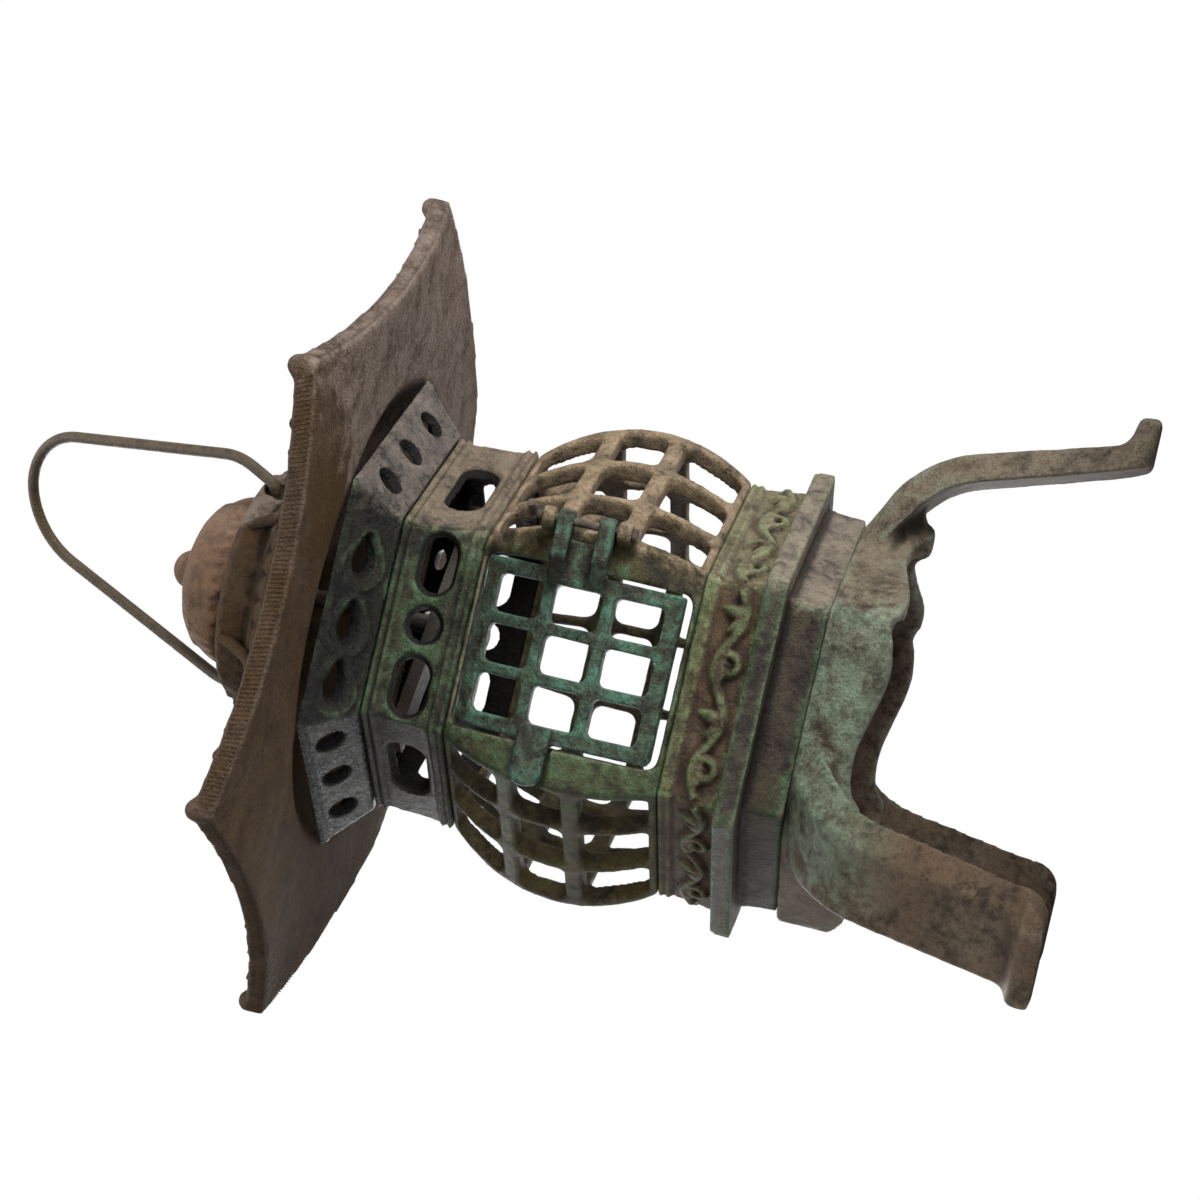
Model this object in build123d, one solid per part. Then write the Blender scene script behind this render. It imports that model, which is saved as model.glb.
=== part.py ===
from build123d import *
import os
from math import atan2, cos, degrees, radians, sin, sqrt

# Hexagonal pagoda candle lantern in cast iron, with a latticed fire box, a hinged door,
# an upswept roof, a three-legged stand and a swinging wire bail.
# Millimetres.  +Z is up, the origin is under the axis on the plane of the feet,
# and the door faces -Y.  Hexagon sizes are across-corner radii.

# ---------------------------------------------------------------- driving dimensions
# Stacked heights, from the feet up
STAND_H = 83.2           # floor to the underside of the tray
DRUM_H = 12.7            # tray wall below its flange
FLANGE_T = 6.7           # thickness of the hexagonal flange
SCROLL_H = 14.2          # ornament band on the flange
RIDGE_H = 4.6            # each double-rib moulding
BELLY_H = 68.9           # latticed fire box
NECK_H = 17.4            # pierced neck between its two mouldings
COLLAR_H = 14.6          # flared collar under the roof

# Across-corner radii
FLANGE_R = 75.0
DRUM_R = 63.0
APRON_R = 66.0
SCROLL_FOOT_R = 67.6     # foot of the ornament band
SCROLL_TOP_R = 65.8
BELLY_FOOT_R = 67.0
BELLY_MID_R = 76.9
BELLY_TOP_R = 60.6
NECK_R = 59.6
COLLAR_FOOT_R = 61.6
COLLAR_TOP_R = 77.0
RIB_PROUD = 1.1          # ribs stand this far out of the walls
RIB_H = 1.7

# Walls
BELLY_WALL = 6.5
BAND_WALL = 5.0
TRAY_WALL = 5.0

# Lattice
BAR_ACROSS = 5.8         # the two bars that run round the belly
BAR_ACROSS_Z = (25.1, 46.1)   # their middles, from the belly's foot
BAR_UPRIGHT = 3.4        # the two uprights of each face
CORNER_BAR = 3.4         # half of the bar at each corner
BELLY_RIM = 2.6          # rim left at the belly's foot and top
CELL_FILLET = 2.0

# Door
DOOR_W = 52.0
DOOR_H = 62.0
DOOR_GAP = 1.0           # gap at the sides and at the top
DOOR_GAP_BELOW = 2.2
DOOR_FRAME = 4.8
DOOR_BAR = 3.6
DOOR_DRAFT = 3.4         # the free edge leans back by this much, to clear its jamb
DOOR_CELLS = 3           # openings each way
CATCH_W = 10.0
CATCH_T = 6.5
CATCH_REACH = 13.5       # tongue past the door's free edge
CATCH_CLEAR = 0.6

# Hinge
HINGE_OUT = 4.1          # pin axis outside the belly's corner
PIN_R = 1.3
PIN_FIT = 0.08           # radial running fit of the door on its pin
LUG_FIT = 0.02
KNUCKLE_R = 3.5
KNUCKLE_L = 5.0
HINGE_SPAN = 28.0        # over both lugs
HINGE_PLAY = 0.5         # between a lug and its knuckle
LUG_L = 4.6
PIN_BEND = 5.5           # bent end of the pin

# Collar and neck piercings
COLLAR_HOLE_R = 4.9      # in the middle of the wall, wider outside and narrower inside
COLLAR_HOLE_DRAW = 4.6
COLLAR_HOLE_PITCH = 21.5
COLLAR_DROPS_AT = (13.6, -7.0, -25.6)   # round ends of the door side's drops, from its middle
COLLAR_DROP_R = 4.65
DROP_LENGTH = 8.6        # point of a drop past its round end
DROP_FLARE = 0.66        # how much wider, each side, a drop gets per mm of wall
NECK_FLARE = 0.48        # and a hole of the neck
NECK_SLOT_L = 18.0
NECK_SLOT_H = 10.6
NECK_SLOT_AT = 19.0      # middles of the outer two slots of a side of three
NECK_LONG_SLOT_L = 29.0
NECK_HOLE_R = 5.2

# Stand
APRON_WALL = 6.5
APRON_DROP = 21.5        # lowest point of the apron's lobes, below the tray
CUSP_DROP = 17.2         # its points and its hollows, below the tray
LEG_SPREAD = 102.9       # land of the leg above the toe
LEG_HEEL = 9.0
KNEE_OUT = 85.8          # where the shoulder and the leg would meet, from the axis
KNEE_DROP = 13.9         # and below the tray
LEG_KNEE_R = 38.0
LEG_T = 9.0
LEG_HALF_W = 18.0        # at the back of the leg
LEG_FOLD = 60.0          # flanks turn back from the land by this angle
LEG_LAND_HALF_W = 12.5
FOOT_CORNER = 8.5
TOE_R = 112.6            # outermost point of the toe
TOE_H = 7.0

# Roof
ROOF_TIP_R = 135.0
ROOF_TIP_RISE = 5.7      # tips above the middle of the eaves
TIP_BEAD_R = 3.8         # bead on each tip
EAVE_T = 7.0
EAVE_BOW = 4.4           # eaves curve in by this much
ROOF_PEAK_R = 34.0       # where the roof meets its crown
ROOF_PEAK_RISE = 31.0    # above the middle of the eaves
ROOF_SEAT = 0.8          # the collar's corners reach this far past the hollow under the roof
CROWN_BULGE = 2.4        # the crown's rounded shoulder stands this far above its middle
CROWN_R = 36.0
CROWN_TOP_R = 28.5
CROWN_H = 9.0

# Finial and what holds it
FINIAL_R = 27.0
FINIAL_H = 19.8
KNOB_R = 6.0
KNOB_H = 5.4             # above the bulb
STUD_R = 3.0
STUD_HOLE_R = 3.4
STUD_IN_FINIAL = 9.0
STUD_BELOW_BAR = 9.0
NUT_W = 10.0             # across flats
NUT_H = 5.0
WASHER_R = 6.5
WASHER_T = 1.2
BAR_W = 12.0
BAR_T = 4.0
LEDGE_T = 4.5
LEDGE_W = 14.0
LEDGE_LAP = 5.0
BAR_END_CLEAR = 1.5

# Bail
WIRE_R = 1.85
WIRE_FIT = 0.10
BAIL_H = 101.0
BAIL_FOOT = 37.5
BAIL_SHOULDER = (42.5, 15.0)
BAIL_APEX = 18.5         # half the width at the top
BAIL_BENDS = (3.8, 20.0, 25.0)   # foot, shoulder and apex
BAIL_TILT = 19.0         # rest angle from upright
BAIL_AXIS = -30.0        # azimuth of the pivot line
BAIL_PIVOT_DROP = 6.8    # pivot below the crown's top
BAIL_END = 27.5
SPOT_FACE_R = 7.0
SPOT_FACE_AT = 33.4

# Candle cup
CUP_R = 12.5
CUP_WALL = 1.5
CUP_DEPTH = 16.0
CUP_FOOT_ROUND = 2.2     # the bore's foot is rounded, above the rivet's head
PAN_R = 25.0
PAN_H = 5.0
RIVET_R = 2.0
RIVET_HEAD_R = 3.6
RIVET_HEAD_H = 1.4

# Bolts of the stand
BOLT_R = 2.5
BOLT_HOLE_R = 2.8
BOLT_CIRCLE = 48.0
BOLT_HEAD_W = 8.0
BOLT_HEAD_H = 3.5
BOLT_NUT_H = 4.0
BOLT_TAIL = 1.5
LUG_PAD_T = 5.0
LUG_PAD_R = 7.0

# ---------------------------------------------------------------- worked out
SIDES = 6
TURN = 360 / SIDES
FLAT = cos(radians(TURN / 2))
LONG = 300.0
DOOR_FACE = -90.0
LEG_KNEE = (KNEE_OUT, STAND_H - KNEE_DROP)
APRON_LOW = STAND_H - APRON_DROP
APRON_CUSP = STAND_H - CUSP_DROP
ROOF_HOLLOW_R = COLLAR_TOP_R - ROOF_SEAT
LAND_TOP_R = APRON_R - LEG_LAND_HALF_W * (1 - FLAT**2) ** 0.5 / FLAT
LEG_TURNS = (0, 120, 240)
BOLT_TURNS = (60, 180, 300)
BAR_TURNS = (TURN / 2, TURN / 2 + 180)
MIN_Z = (Align.CENTER, Align.CENTER, Align.MIN)
MAX_Z = (Align.CENTER, Align.CENTER, Align.MAX)

Z_DRUM = STAND_H
Z_FLANGE = Z_DRUM + DRUM_H
Z_SCROLL = Z_FLANGE + FLANGE_T
Z_RIDGE_LOW = Z_SCROLL + SCROLL_H
Z_BELLY = Z_RIDGE_LOW + RIDGE_H
Z_RIDGE_MID = Z_BELLY + BELLY_H
Z_NECK = Z_RIDGE_MID + RIDGE_H
Z_RIDGE_TOP = Z_NECK + NECK_H
Z_COLLAR = Z_RIDGE_TOP + RIDGE_H
Z_ROOF = Z_COLLAR + COLLAR_H
Z_EAVE = Z_ROOF + EAVE_T
Z_PEAK = Z_EAVE + ROOF_PEAK_RISE - CROWN_H + 4.0
Z_CROWN = Z_EAVE + ROOF_PEAK_RISE + 5.0
Z_PIVOT = Z_CROWN - BAIL_PIVOT_DROP
Z_LEDGE = Z_RIDGE_TOP
Z_BAR = Z_LEDGE - BAR_T
Z_STUD_NUT = Z_BAR - WASHER_T - NUT_H
BAR_REACH = NECK_R * FLAT - BAND_WALL - BAR_END_CLEAR


def polar(radius, azimuth, z=0.0):
    return (radius * cos(radians(azimuth)), radius * sin(radians(azimuth)), z)


def turned(shape, azimuth):
    return Rot(Z=azimuth) * shape


def upright(plan, z, height):
    """Prism on a plan, from a level upwards."""
    return Pos(0, 0, z) * extrude(plan, height, dir=(0, 0, 1))


def plan_circle(centre, radius):
    return Pos(centre[0], centre[1]) * Circle(radius)


# ---------------------------------------------------------------- hexagonal solids
def hex_solid(edge):
    """Solid whose six flat sides follow an (apothem, height) edge drawn upwards."""
    low, high = edge @ 0, edge @ 1
    outline = [
        edge,
        Line((high.X, high.Y), (-high.X, high.Y)),
        mirror(edge, Plane.YZ),
        Line((low.X, low.Y), (-low.X, low.Y)),
    ]
    slab = extrude(Plane.XZ * make_face(Curve() + outline), LONG, both=True)
    solid = turned(slab, TURN / 2)
    for side in range(1, SIDES // 2):
        solid = solid & turned(slab, TURN / 2 + side * TURN)
    return solid


def hex_ring(outer, inner):
    return hex_solid(outer) - hex_solid(inner)


def straight(radius_low, z_low, radius_high, z_high, inset=0.0):
    return Line((radius_low * FLAT - inset, z_low), (radius_high * FLAT - inset, z_high))


def face_plane(side):
    """Upright plane through the axis that looks out of a side: x along it, y up."""
    azimuth = DOOR_FACE + side * TURN
    normal = (cos(radians(azimuth)), sin(radians(azimuth)), 0)
    along = (-normal[1], normal[0], 0)
    return Plane(origin=(0, 0, 0), x_dir=along, z_dir=normal)


def double_rib(radius, z):
    """Edge of a moulding with two ribs and a groove between them."""
    root = radius * FLAT
    proud = root + RIB_PROUD
    points = [(root, z)]
    for foot in (z + 0.2, z + RIDGE_H - 0.2 - RIB_H):
        points += [
            (root, foot),
            (proud, foot + 0.4),
            (proud, foot + RIB_H - 0.4),
            (root, foot + RIB_H),
        ]
    points.append((root, z + RIDGE_H))
    return Polyline(*points)


# ---------------------------------------------------------------- lattice
def belly_edge(inset=0.0):
    return ThreePointArc(
        (BELLY_FOOT_R * FLAT - inset, Z_BELLY),
        (BELLY_MID_R * FLAT - inset, Z_BELLY + 0.47 * BELLY_H),
        (BELLY_TOP_R * FLAT - inset, Z_BELLY + BELLY_H),
    )


def half_side(z):
    """Half the width of the belly's side at a height."""
    edge = belly_edge()
    centre, radius = edge.arc_center, edge.radius
    apothem = centre.X + sqrt(radius**2 - (z - centre.Y) ** 2)
    return apothem / FLAT / 2


def cell(left_low, right_low, z_low, left_high, right_high, z_high):
    outline = Polygon(
        (left_low, z_low), (right_low, z_low), (right_high, z_high), (left_high, z_high),
        align=None,
    )
    return fillet(outline.vertices(), CELL_FILLET)


def side_cells():
    """The nine openings of one lattice side."""
    across = [Z_BELLY + z for z in BAR_ACROSS_Z]
    lows = [Z_BELLY + BELLY_RIM] + [z + BAR_ACROSS / 2 for z in across]
    highs = [z - BAR_ACROSS / 2 for z in across] + [Z_RIDGE_MID - BELLY_RIM]
    cells = []
    for z_low, z_high in zip(lows, highs):
        edges = []
        for z in (z_low, z_high):
            half = half_side(z)
            edges.append([
                (-half + CORNER_BAR, -half / 3 - BAR_UPRIGHT / 2),
                (-half / 3 + BAR_UPRIGHT / 2, half / 3 - BAR_UPRIGHT / 2),
                (half / 3 + BAR_UPRIGHT / 2, half - CORNER_BAR),
            ])
        for (low_l, low_r), (high_l, high_r) in zip(*edges):
            cells.append(cell(low_l, low_r, z_low, high_l, high_r, z_high))
    return cells


DOOR_Z = Z_BELLY + (BELLY_H - DOOR_H - DOOR_GAP - DOOR_GAP_BELOW) / 2 + DOOR_GAP_BELOW
PIN_AT = polar(BELLY_MID_R + HINGE_OUT, DOOR_FACE + TURN / 2)
HINGE_Z = Z_BELLY + BELLY_H / 2 + 2.0
JAMB = DOOR_W / 2 + DOOR_GAP
DOOR_FACE_Y = -BELLY_MID_R * FLAT


def fire_box():
    box = hex_ring(belly_edge(), belly_edge(BELLY_WALL))
    windows = extrude(Sketch() + side_cells(), LONG / 2)
    cuts = [face_plane(side) * windows for side in range(1, SIDES)]
    opening = Pos(0, -LONG / 4, DOOR_Z - DOOR_GAP_BELOW) * Box(
        2 * JAMB, LONG / 2, DOOR_H + DOOR_GAP + DOOR_GAP_BELOW,
        align=(Align.CENTER, Align.CENTER, Align.MIN),
    )
    notch = catch_block(CATCH_CLEAR)
    lugs = [hinge_ear(z, LUG_L, LUG_FIT) for z in lug_heights()]
    return box - cuts - opening - notch + lugs


# ---------------------------------------------------------------- door and hinge
def lug_heights():
    return (HINGE_Z - HINGE_SPAN / 2, HINGE_Z + HINGE_SPAN / 2 - LUG_L)


def knuckle_heights():
    low, high = lug_heights()
    return (low + LUG_L + HINGE_PLAY, high - HINGE_PLAY - KNUCKLE_L)


def hinge_ear(z, length, fit):
    """Lug of the corner bar: an eye round the pin with a root in the bar."""
    root = polar(BELLY_MID_R - BELLY_WALL / 2 - 1.0, DOOR_FACE + TURN / 2)
    eye = plan_circle(PIN_AT, KNUCKLE_R)
    foot = plan_circle(root, KNUCKLE_R - 0.6)
    ear = make_hull((Sketch() + [eye, foot]).edges())
    return upright(ear, z, length) - upright(plan_circle(PIN_AT, PIN_R + fit), z, length)


def knuckle(z):
    """Hooked ear of the door, from its outer face round the pin."""
    inner_y = DOOR_FACE_Y - CATCH_CLEAR
    outer_y = PIN_AT[1] - KNUCKLE_R
    arm = Polygon(
        (DOOR_W / 2 - DOOR_FRAME, DOOR_FACE_Y + 2.0),
        (DOOR_W / 2, DOOR_FACE_Y + 2.0),
        (DOOR_W / 2, inner_y),
        (PIN_AT[0], inner_y),
        (PIN_AT[0], outer_y),
        (DOOR_W / 2 + 4.0, outer_y),
        (DOOR_W / 2 - DOOR_FRAME, DOOR_FACE_Y - 1.5),
        align=None,
    )
    ear = upright(arm, z, KNUCKLE_L) + upright(plan_circle(PIN_AT, KNUCKLE_R), z, KNUCKLE_L)
    return ear - upright(plan_circle(PIN_AT, PIN_R + PIN_FIT), z, KNUCKLE_L)


def saddle():
    """Web that joins the two ears, short of the pin."""
    low, high = knuckle_heights()
    short_x = PIN_AT[0] - KNUCKLE_R - 2.0
    web = Polygon(
        (DOOR_W / 2 - DOOR_FRAME, DOOR_FACE_Y + 2.0),
        (DOOR_W / 2, DOOR_FACE_Y + 2.0),
        (DOOR_W / 2, DOOR_FACE_Y - CATCH_CLEAR),
        (short_x, DOOR_FACE_Y - CATCH_CLEAR),
        (short_x, DOOR_FACE_Y - 3.2),
        (DOOR_W / 2 - DOOR_FRAME, DOOR_FACE_Y - 1.5),
        align=None,
    )
    return upright(web, low + KNUCKLE_L / 2, high - low)


def catch_block(clear):
    """Tongue of the door, or with a clearance the notch for it."""
    length = CATCH_REACH + DOOR_FRAME + clear
    block = Box(length, CATCH_T + clear, CATCH_W + 2 * clear)
    middle_x = -DOOR_W / 2 + DOOR_FRAME - length / 2
    middle_y = DOOR_FACE_Y + 2.6 + clear - (CATCH_T + clear) / 2
    if clear == 0:
        block = fillet(block.edges().filter_by(Axis.Y).group_by(Axis.X)[0], CATCH_W / 2 - 0.5)
        block = fillet(block.faces().sort_by(Axis.Y)[0].edges(), 1.5)
    return Pos(middle_x, middle_y, HINGE_Z + 2.0) * block


def door():
    panel = hex_ring(belly_edge(), belly_edge(BELLY_WALL))
    deep = -BELLY_FOOT_R * FLAT + BELLY_WALL + 8.0
    plan = Polygon(
        (DOOR_W / 2, -LONG / 2),
        (DOOR_W / 2, deep),
        (-DOOR_W / 2 + DOOR_DRAFT, deep),
        (-DOOR_W / 2, DOOR_FACE_Y + BELLY_WALL),
        (-DOOR_W / 2, -LONG / 2),
        align=None,
    )
    panel &= upright(plan, DOOR_Z, DOOR_H)
    width = (DOOR_W - 2 * DOOR_FRAME - (DOOR_CELLS - 1) * DOOR_BAR) / DOOR_CELLS
    height = (DOOR_H - 2 * DOOR_FRAME - (DOOR_CELLS - 1) * DOOR_BAR) / DOOR_CELLS
    window = fillet(Rectangle(width, height).vertices(), CELL_FILLET)
    middle = (0, DOOR_Z + DOOR_H / 2)
    grid = GridLocations(width + DOOR_BAR, height + DOOR_BAR, DOOR_CELLS, DOOR_CELLS)
    windows = Pos(*middle) * (Sketch() + [place * window for place in grid])
    panel -= face_plane(0) * extrude(windows, LONG / 2)
    return panel + [knuckle(z) for z in knuckle_heights()] + saddle() + catch_block(0)


def hinge_pin():
    """Wire pin: an upset head below, the other end bent over."""
    low = lug_heights()[0] - 1.4
    high = lug_heights()[1] + LUG_L + 1.0 + PIN_R
    bend = 1.5 * PIN_R
    out = polar(1.0, DOOR_FACE + TURN / 2)
    x, y = PIN_AT[0], PIN_AT[1]
    path = FilletPolyline(
        (x, y, low), (x, y, high), (x + out[0] * PIN_BEND, y + out[1] * PIN_BEND, high + 1.0),
        radius=bend,
    )
    wire = sweep(Plane(origin=path @ 0, z_dir=path % 0) * Circle(PIN_R), path=path)
    return wire + Pos(x, y, low) * Cylinder(PIN_R + 0.8, 1.3, align=MIN_Z)


# ---------------------------------------------------------------- bands above the belly
def neck_band():
    def edge(inset):
        if inset:
            return straight(BELLY_TOP_R, Z_RIDGE_MID, COLLAR_FOOT_R, Z_COLLAR, inset)
        low = double_rib(BELLY_TOP_R, Z_RIDGE_MID)
        high = double_rib(NECK_R, Z_RIDGE_TOP)
        return Curve() + [low, Line(low @ 1, high @ 0), high]

    band = hex_ring(edge(0), edge(BAND_WALL))
    middle_z = Z_NECK + NECK_H / 2
    wall_at = NECK_R * FLAT - BAND_WALL / 2

    def slot(length):
        return lambda grow: SlotOverall(length + 2 * grow, NECK_SLOT_H + 2 * grow)

    single = flared(slot(NECK_LONG_SLOT_L), NECK_FLARE)
    outer = flared(slot(NECK_SLOT_L), NECK_FLARE)
    trio = [Pos(x, 0, 0) * outer for x in (-NECK_SLOT_AT, NECK_SLOT_AT)]
    trio.append(flared(lambda grow: Circle(NECK_HOLE_R + grow), NECK_FLARE))
    for side in range(SIDES):
        for hole in trio if side % 3 == 0 else [single]:
            band -= face_plane(side) * Pos(0, middle_z, wall_at) * hole
    inner = COLLAR_FOOT_R * FLAT - BAND_WALL
    ledges = []
    for azimuth in BAR_TURNS:
        plan = Pos(BAR_REACH - LEDGE_LAP, 0) * Rectangle(
            inner - BAR_REACH + LEDGE_LAP + 1.0, LEDGE_W, align=(Align.MIN, Align.CENTER)
        )
        ledges.append(turned(upright(plan, Z_LEDGE, LEDGE_T), azimuth))
    return band + ledges


def flared(outline, flare):
    """Cast hole through a band's wall, wider outside: outline gives its sketch from how much it grows."""
    reach = BAND_WALL / 2 + 2.5
    grow = flare * reach
    return loft([Pos(0, 0, -reach) * outline(-grow), Pos(0, 0, reach) * outline(grow)])


def drop(grow):
    """Round hole drawn out to a point."""
    tip = Pos(0, DROP_LENGTH) * Circle(1.5 + 0.35 * grow)
    return make_hull((Sketch() + [Circle(COLLAR_DROP_R + grow), tip]).edges())


def round_hole(depth):
    """Round hole that opens towards the outer face."""
    return Cone(COLLAR_HOLE_R - COLLAR_HOLE_DRAW, COLLAR_HOLE_R + COLLAR_HOLE_DRAW, depth)


def crown_collar():
    collar = hex_ring(
        straight(COLLAR_FOOT_R, Z_COLLAR, COLLAR_TOP_R, Z_ROOF),
        straight(COLLAR_FOOT_R, Z_COLLAR, COLLAR_TOP_R, Z_ROOF, BAND_WALL),
    )
    lean = degrees(atan2((COLLAR_TOP_R - COLLAR_FOOT_R) * FLAT, COLLAR_H))
    middle_r = (COLLAR_FOOT_R + COLLAR_TOP_R) / 2 * FLAT
    depth = 4 * BAND_WALL
    for side in range(SIDES):
        azimuth = DOOR_FACE + side * TURN
        aim = Rot(Z=azimuth) * Rot(Y=90 + lean) * Rot(Z=90)
        spot = Pos(*polar(middle_r, azimuth, Z_COLLAR + COLLAR_H / 2)) * aim
        if side == 0:
            tools = [Pos(x, 0, 0) * Rot(Z=-90) * flared(drop, DROP_FLARE) for x in COLLAR_DROPS_AT]
        else:
            tools = [Pos(place * COLLAR_HOLE_PITCH, 0, 0) * round_hole(depth) for place in (-1, 0, 1)]
        for tool in tools:
            collar -= spot * tool
    return collar


def scroll_band():
    low = straight(SCROLL_FOOT_R, Z_SCROLL, SCROLL_TOP_R, Z_RIDGE_LOW)
    edge = Curve() + [low, double_rib(SCROLL_TOP_R, Z_RIDGE_LOW)]
    inner = straight(SCROLL_FOOT_R, Z_SCROLL, BELLY_FOOT_R, Z_BELLY, BAND_WALL + 1.0)
    band = hex_ring(edge, inner)
    pads = []
    for azimuth in BOLT_TURNS:
        pads.append(turned(bolt_pad(SCROLL_TOP_R - BAND_WALL, Z_SCROLL), azimuth))
    return band + pads - bolt_holes()


def bolt_pad(reach, z):
    """Inner pad at a corner, from the bolt out to the wall."""
    tongue = Pos(BOLT_CIRCLE, 0) * Rectangle(
        reach - BOLT_CIRCLE, 2 * LUG_PAD_R, align=(Align.MIN, Align.CENTER)
    )
    boss = plan_circle((BOLT_CIRCLE, 0), LUG_PAD_R)
    return upright(tongue, z, LUG_PAD_T) + upright(boss, z, LUG_PAD_T)


def bolt_holes():
    return [
        Pos(*polar(BOLT_CIRCLE, azimuth)) * Cylinder(BOLT_HOLE_R, LONG) for azimuth in BOLT_TURNS
    ]


# ---------------------------------------------------------------- base
def base_tray():
    flange = hex_solid(straight(FLANGE_R, Z_FLANGE, FLANGE_R - 0.4, Z_SCROLL))
    wall = hex_ring(
        straight(DRUM_R, Z_DRUM, DRUM_R + 1.2, Z_FLANGE),
        straight(DRUM_R, Z_DRUM, DRUM_R, Z_FLANGE, TRAY_WALL),
    )
    rivet = Pos(0, 0, Z_SCROLL) * Cylinder(RIVET_R, 4 * FLANGE_T)
    return flange + wall - bolt_holes() - rivet


def leg_land():
    """Side view of a leg's outer face, filled to the axis."""
    edge = FilletPolyline(
        (LAND_TOP_R, Z_DRUM), LEG_KNEE, (LEG_SPREAD, LEG_HEEL), (TOE_R - 0.6, TOE_H), (TOE_R, 1.2),
        (TOE_R - 1.5, 0), radius=(LEG_KNEE_R, 3.0, 2.0, 0.8),
    )
    rest = Polyline(edge @ 1, (0, 0), (0, Z_DRUM), edge @ 0)
    return make_face(edge + rest)


def leg_back():
    """Side view of what lies behind a leg."""
    run = atan2(LEG_SPREAD - LEG_KNEE[0], LEG_KNEE[1] - LEG_HEEL)
    back_x = LEG_T * cos(run)
    heel_x = LEG_SPREAD - back_x
    edge = FilletPolyline(
        (APRON_R - APRON_WALL - 12.0, Z_DRUM - 1.0),
        (LEG_KNEE[0] - back_x + 1.0, LEG_KNEE[1] - LEG_T + 1.0),
        (heel_x, LEG_HEEL), (heel_x + 3.5, 0), (heel_x + 3.5, -5), radius=(LEG_KNEE_R - LEG_T, 8.0, 1.0),
    )
    rest = Polyline(edge @ 1, (0, -5), (0, Z_DRUM - 1.0), edge @ 0)
    return make_face(edge + rest)


def leg():
    """Bar with a flat land outside and a flank folded back on each side of it."""
    land = leg_land()
    bar = extrude(Plane.XZ * land, LONG, both=True)
    narrow = scale(land, by=(cos(radians(LEG_FOLD)), 1, 1))
    flank = Pos(LEG_LAND_HALF_W * sin(radians(LEG_FOLD)), 0) * narrow
    flank = extrude(Plane.XZ * flank, LONG, both=True)
    bar = bar & turned(flank, LEG_FOLD) & turned(flank, -LEG_FOLD)
    bar -= extrude(Plane.XZ * leg_back(), LONG, both=True)
    front = Plane(origin=(0, 0, 0), x_dir=(0, 1, 0), z_dir=(1, 0, 0)) * leg_front()
    return bar & extrude(front, LONG)


def leg_front():
    """Front view of a leg: it widens into the apron at its top."""
    half = LEG_HALF_W
    side = FilletPolyline((0, 0), (half, 0), (half, APRON_LOW - 20.0), radius=FOOT_CORNER)
    flare = Spline(side @ 1, (half + 3.0, APRON_LOW - 8.0), (half + 10.0, APRON_CUSP + 4.0))
    rest = Polyline(flare @ 1, (half + 10.0, Z_DRUM), (0, Z_DRUM), side @ 0)
    half_face = make_face(Curve() + [side, flare, rest])
    return half_face + mirror(half_face, Plane.YZ)


def apron_window(side):
    """What the ogee edge of a side leaves open, from the leg to the point at the corner."""
    to_point = 1 if side % 2 == 0 else -1
    half = APRON_R / 2
    points = [
        (half + 0.5, APRON_CUSP + 0.6), (0.9 * half, APRON_LOW + 1.8), (0.74 * half, APRON_LOW + 0.6),
        (0.47 * half, APRON_LOW), (0.18 * half, APRON_LOW + 1.8), (-0.1 * half, APRON_CUSP - 0.3),
        (-0.43 * half, APRON_CUSP + 0.4), (-0.65 * half, APRON_LOW + 2.4),
        (-0.76 * half, APRON_LOW - 3.6), (-0.85 * half, APRON_LOW - 19.0),
    ]
    points = [(to_point * x, z) for x, z in points]
    edge = Spline(*points)
    rest = Polyline(edge @ 1, (points[-1][0], -5), (points[0][0], -5), edge @ 0)
    return extrude(make_face(edge + rest), LONG / 2, dir=(0, 0, 1))


def corner_bevel():
    """What is cut from an apron corner so that the leg's land runs up across it."""
    block = Pos(LAND_TOP_R - 2.0, 0, APRON_LOW - 10.0) * Box(
        LEG_KNEE[0] - LAND_TOP_R, 4 * LEG_LAND_HALF_W, Z_DRUM - APRON_LOW + 10.0,
        align=(Align.MIN, Align.CENTER, Align.MIN),
    )
    return block - extrude(Plane.XZ * leg_land(), LONG, both=True)


def leg_stand():
    apron = hex_ring(
        straight(APRON_R, APRON_LOW - 0.4, APRON_R, Z_DRUM),
        straight(APRON_R, APRON_LOW - 0.4, APRON_R, Z_DRUM, APRON_WALL),
    )
    for side in range(SIDES):
        apron -= face_plane(side) * apron_window(side)
    one = leg()
    bevel = corner_bevel()
    for azimuth in LEG_TURNS:
        apron -= turned(bevel, azimuth)
    legs = [turned(one, azimuth) for azimuth in LEG_TURNS]
    pads = []
    for azimuth in BOLT_TURNS:
        pads.append(turned(bolt_pad(APRON_R - APRON_WALL, Z_DRUM - LUG_PAD_T), azimuth))
    return apron + legs + pads - bolt_holes()


def hex_prism(across_flats, height):
    return extrude(RegularPolygon(across_flats / 2, SIDES, major_radius=False), height)


def base_bolts():
    length = Z_SCROLL + LUG_PAD_T - (Z_DRUM - LUG_PAD_T) + BOLT_NUT_H + BOLT_TAIL
    bolt = Cylinder(BOLT_R, length, align=MAX_Z) + hex_prism(BOLT_HEAD_W, BOLT_HEAD_H)
    return [Pos(*polar(BOLT_CIRCLE, a, Z_SCROLL + LUG_PAD_T)) * bolt for a in BOLT_TURNS]


def base_nuts():
    nut = hex_prism(BOLT_HEAD_W, BOLT_NUT_H) - Cylinder(BOLT_R, 4 * BOLT_NUT_H)
    low = Z_DRUM - LUG_PAD_T - BOLT_NUT_H
    return [Pos(*polar(BOLT_CIRCLE, a, low)) * nut for a in BOLT_TURNS]


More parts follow.
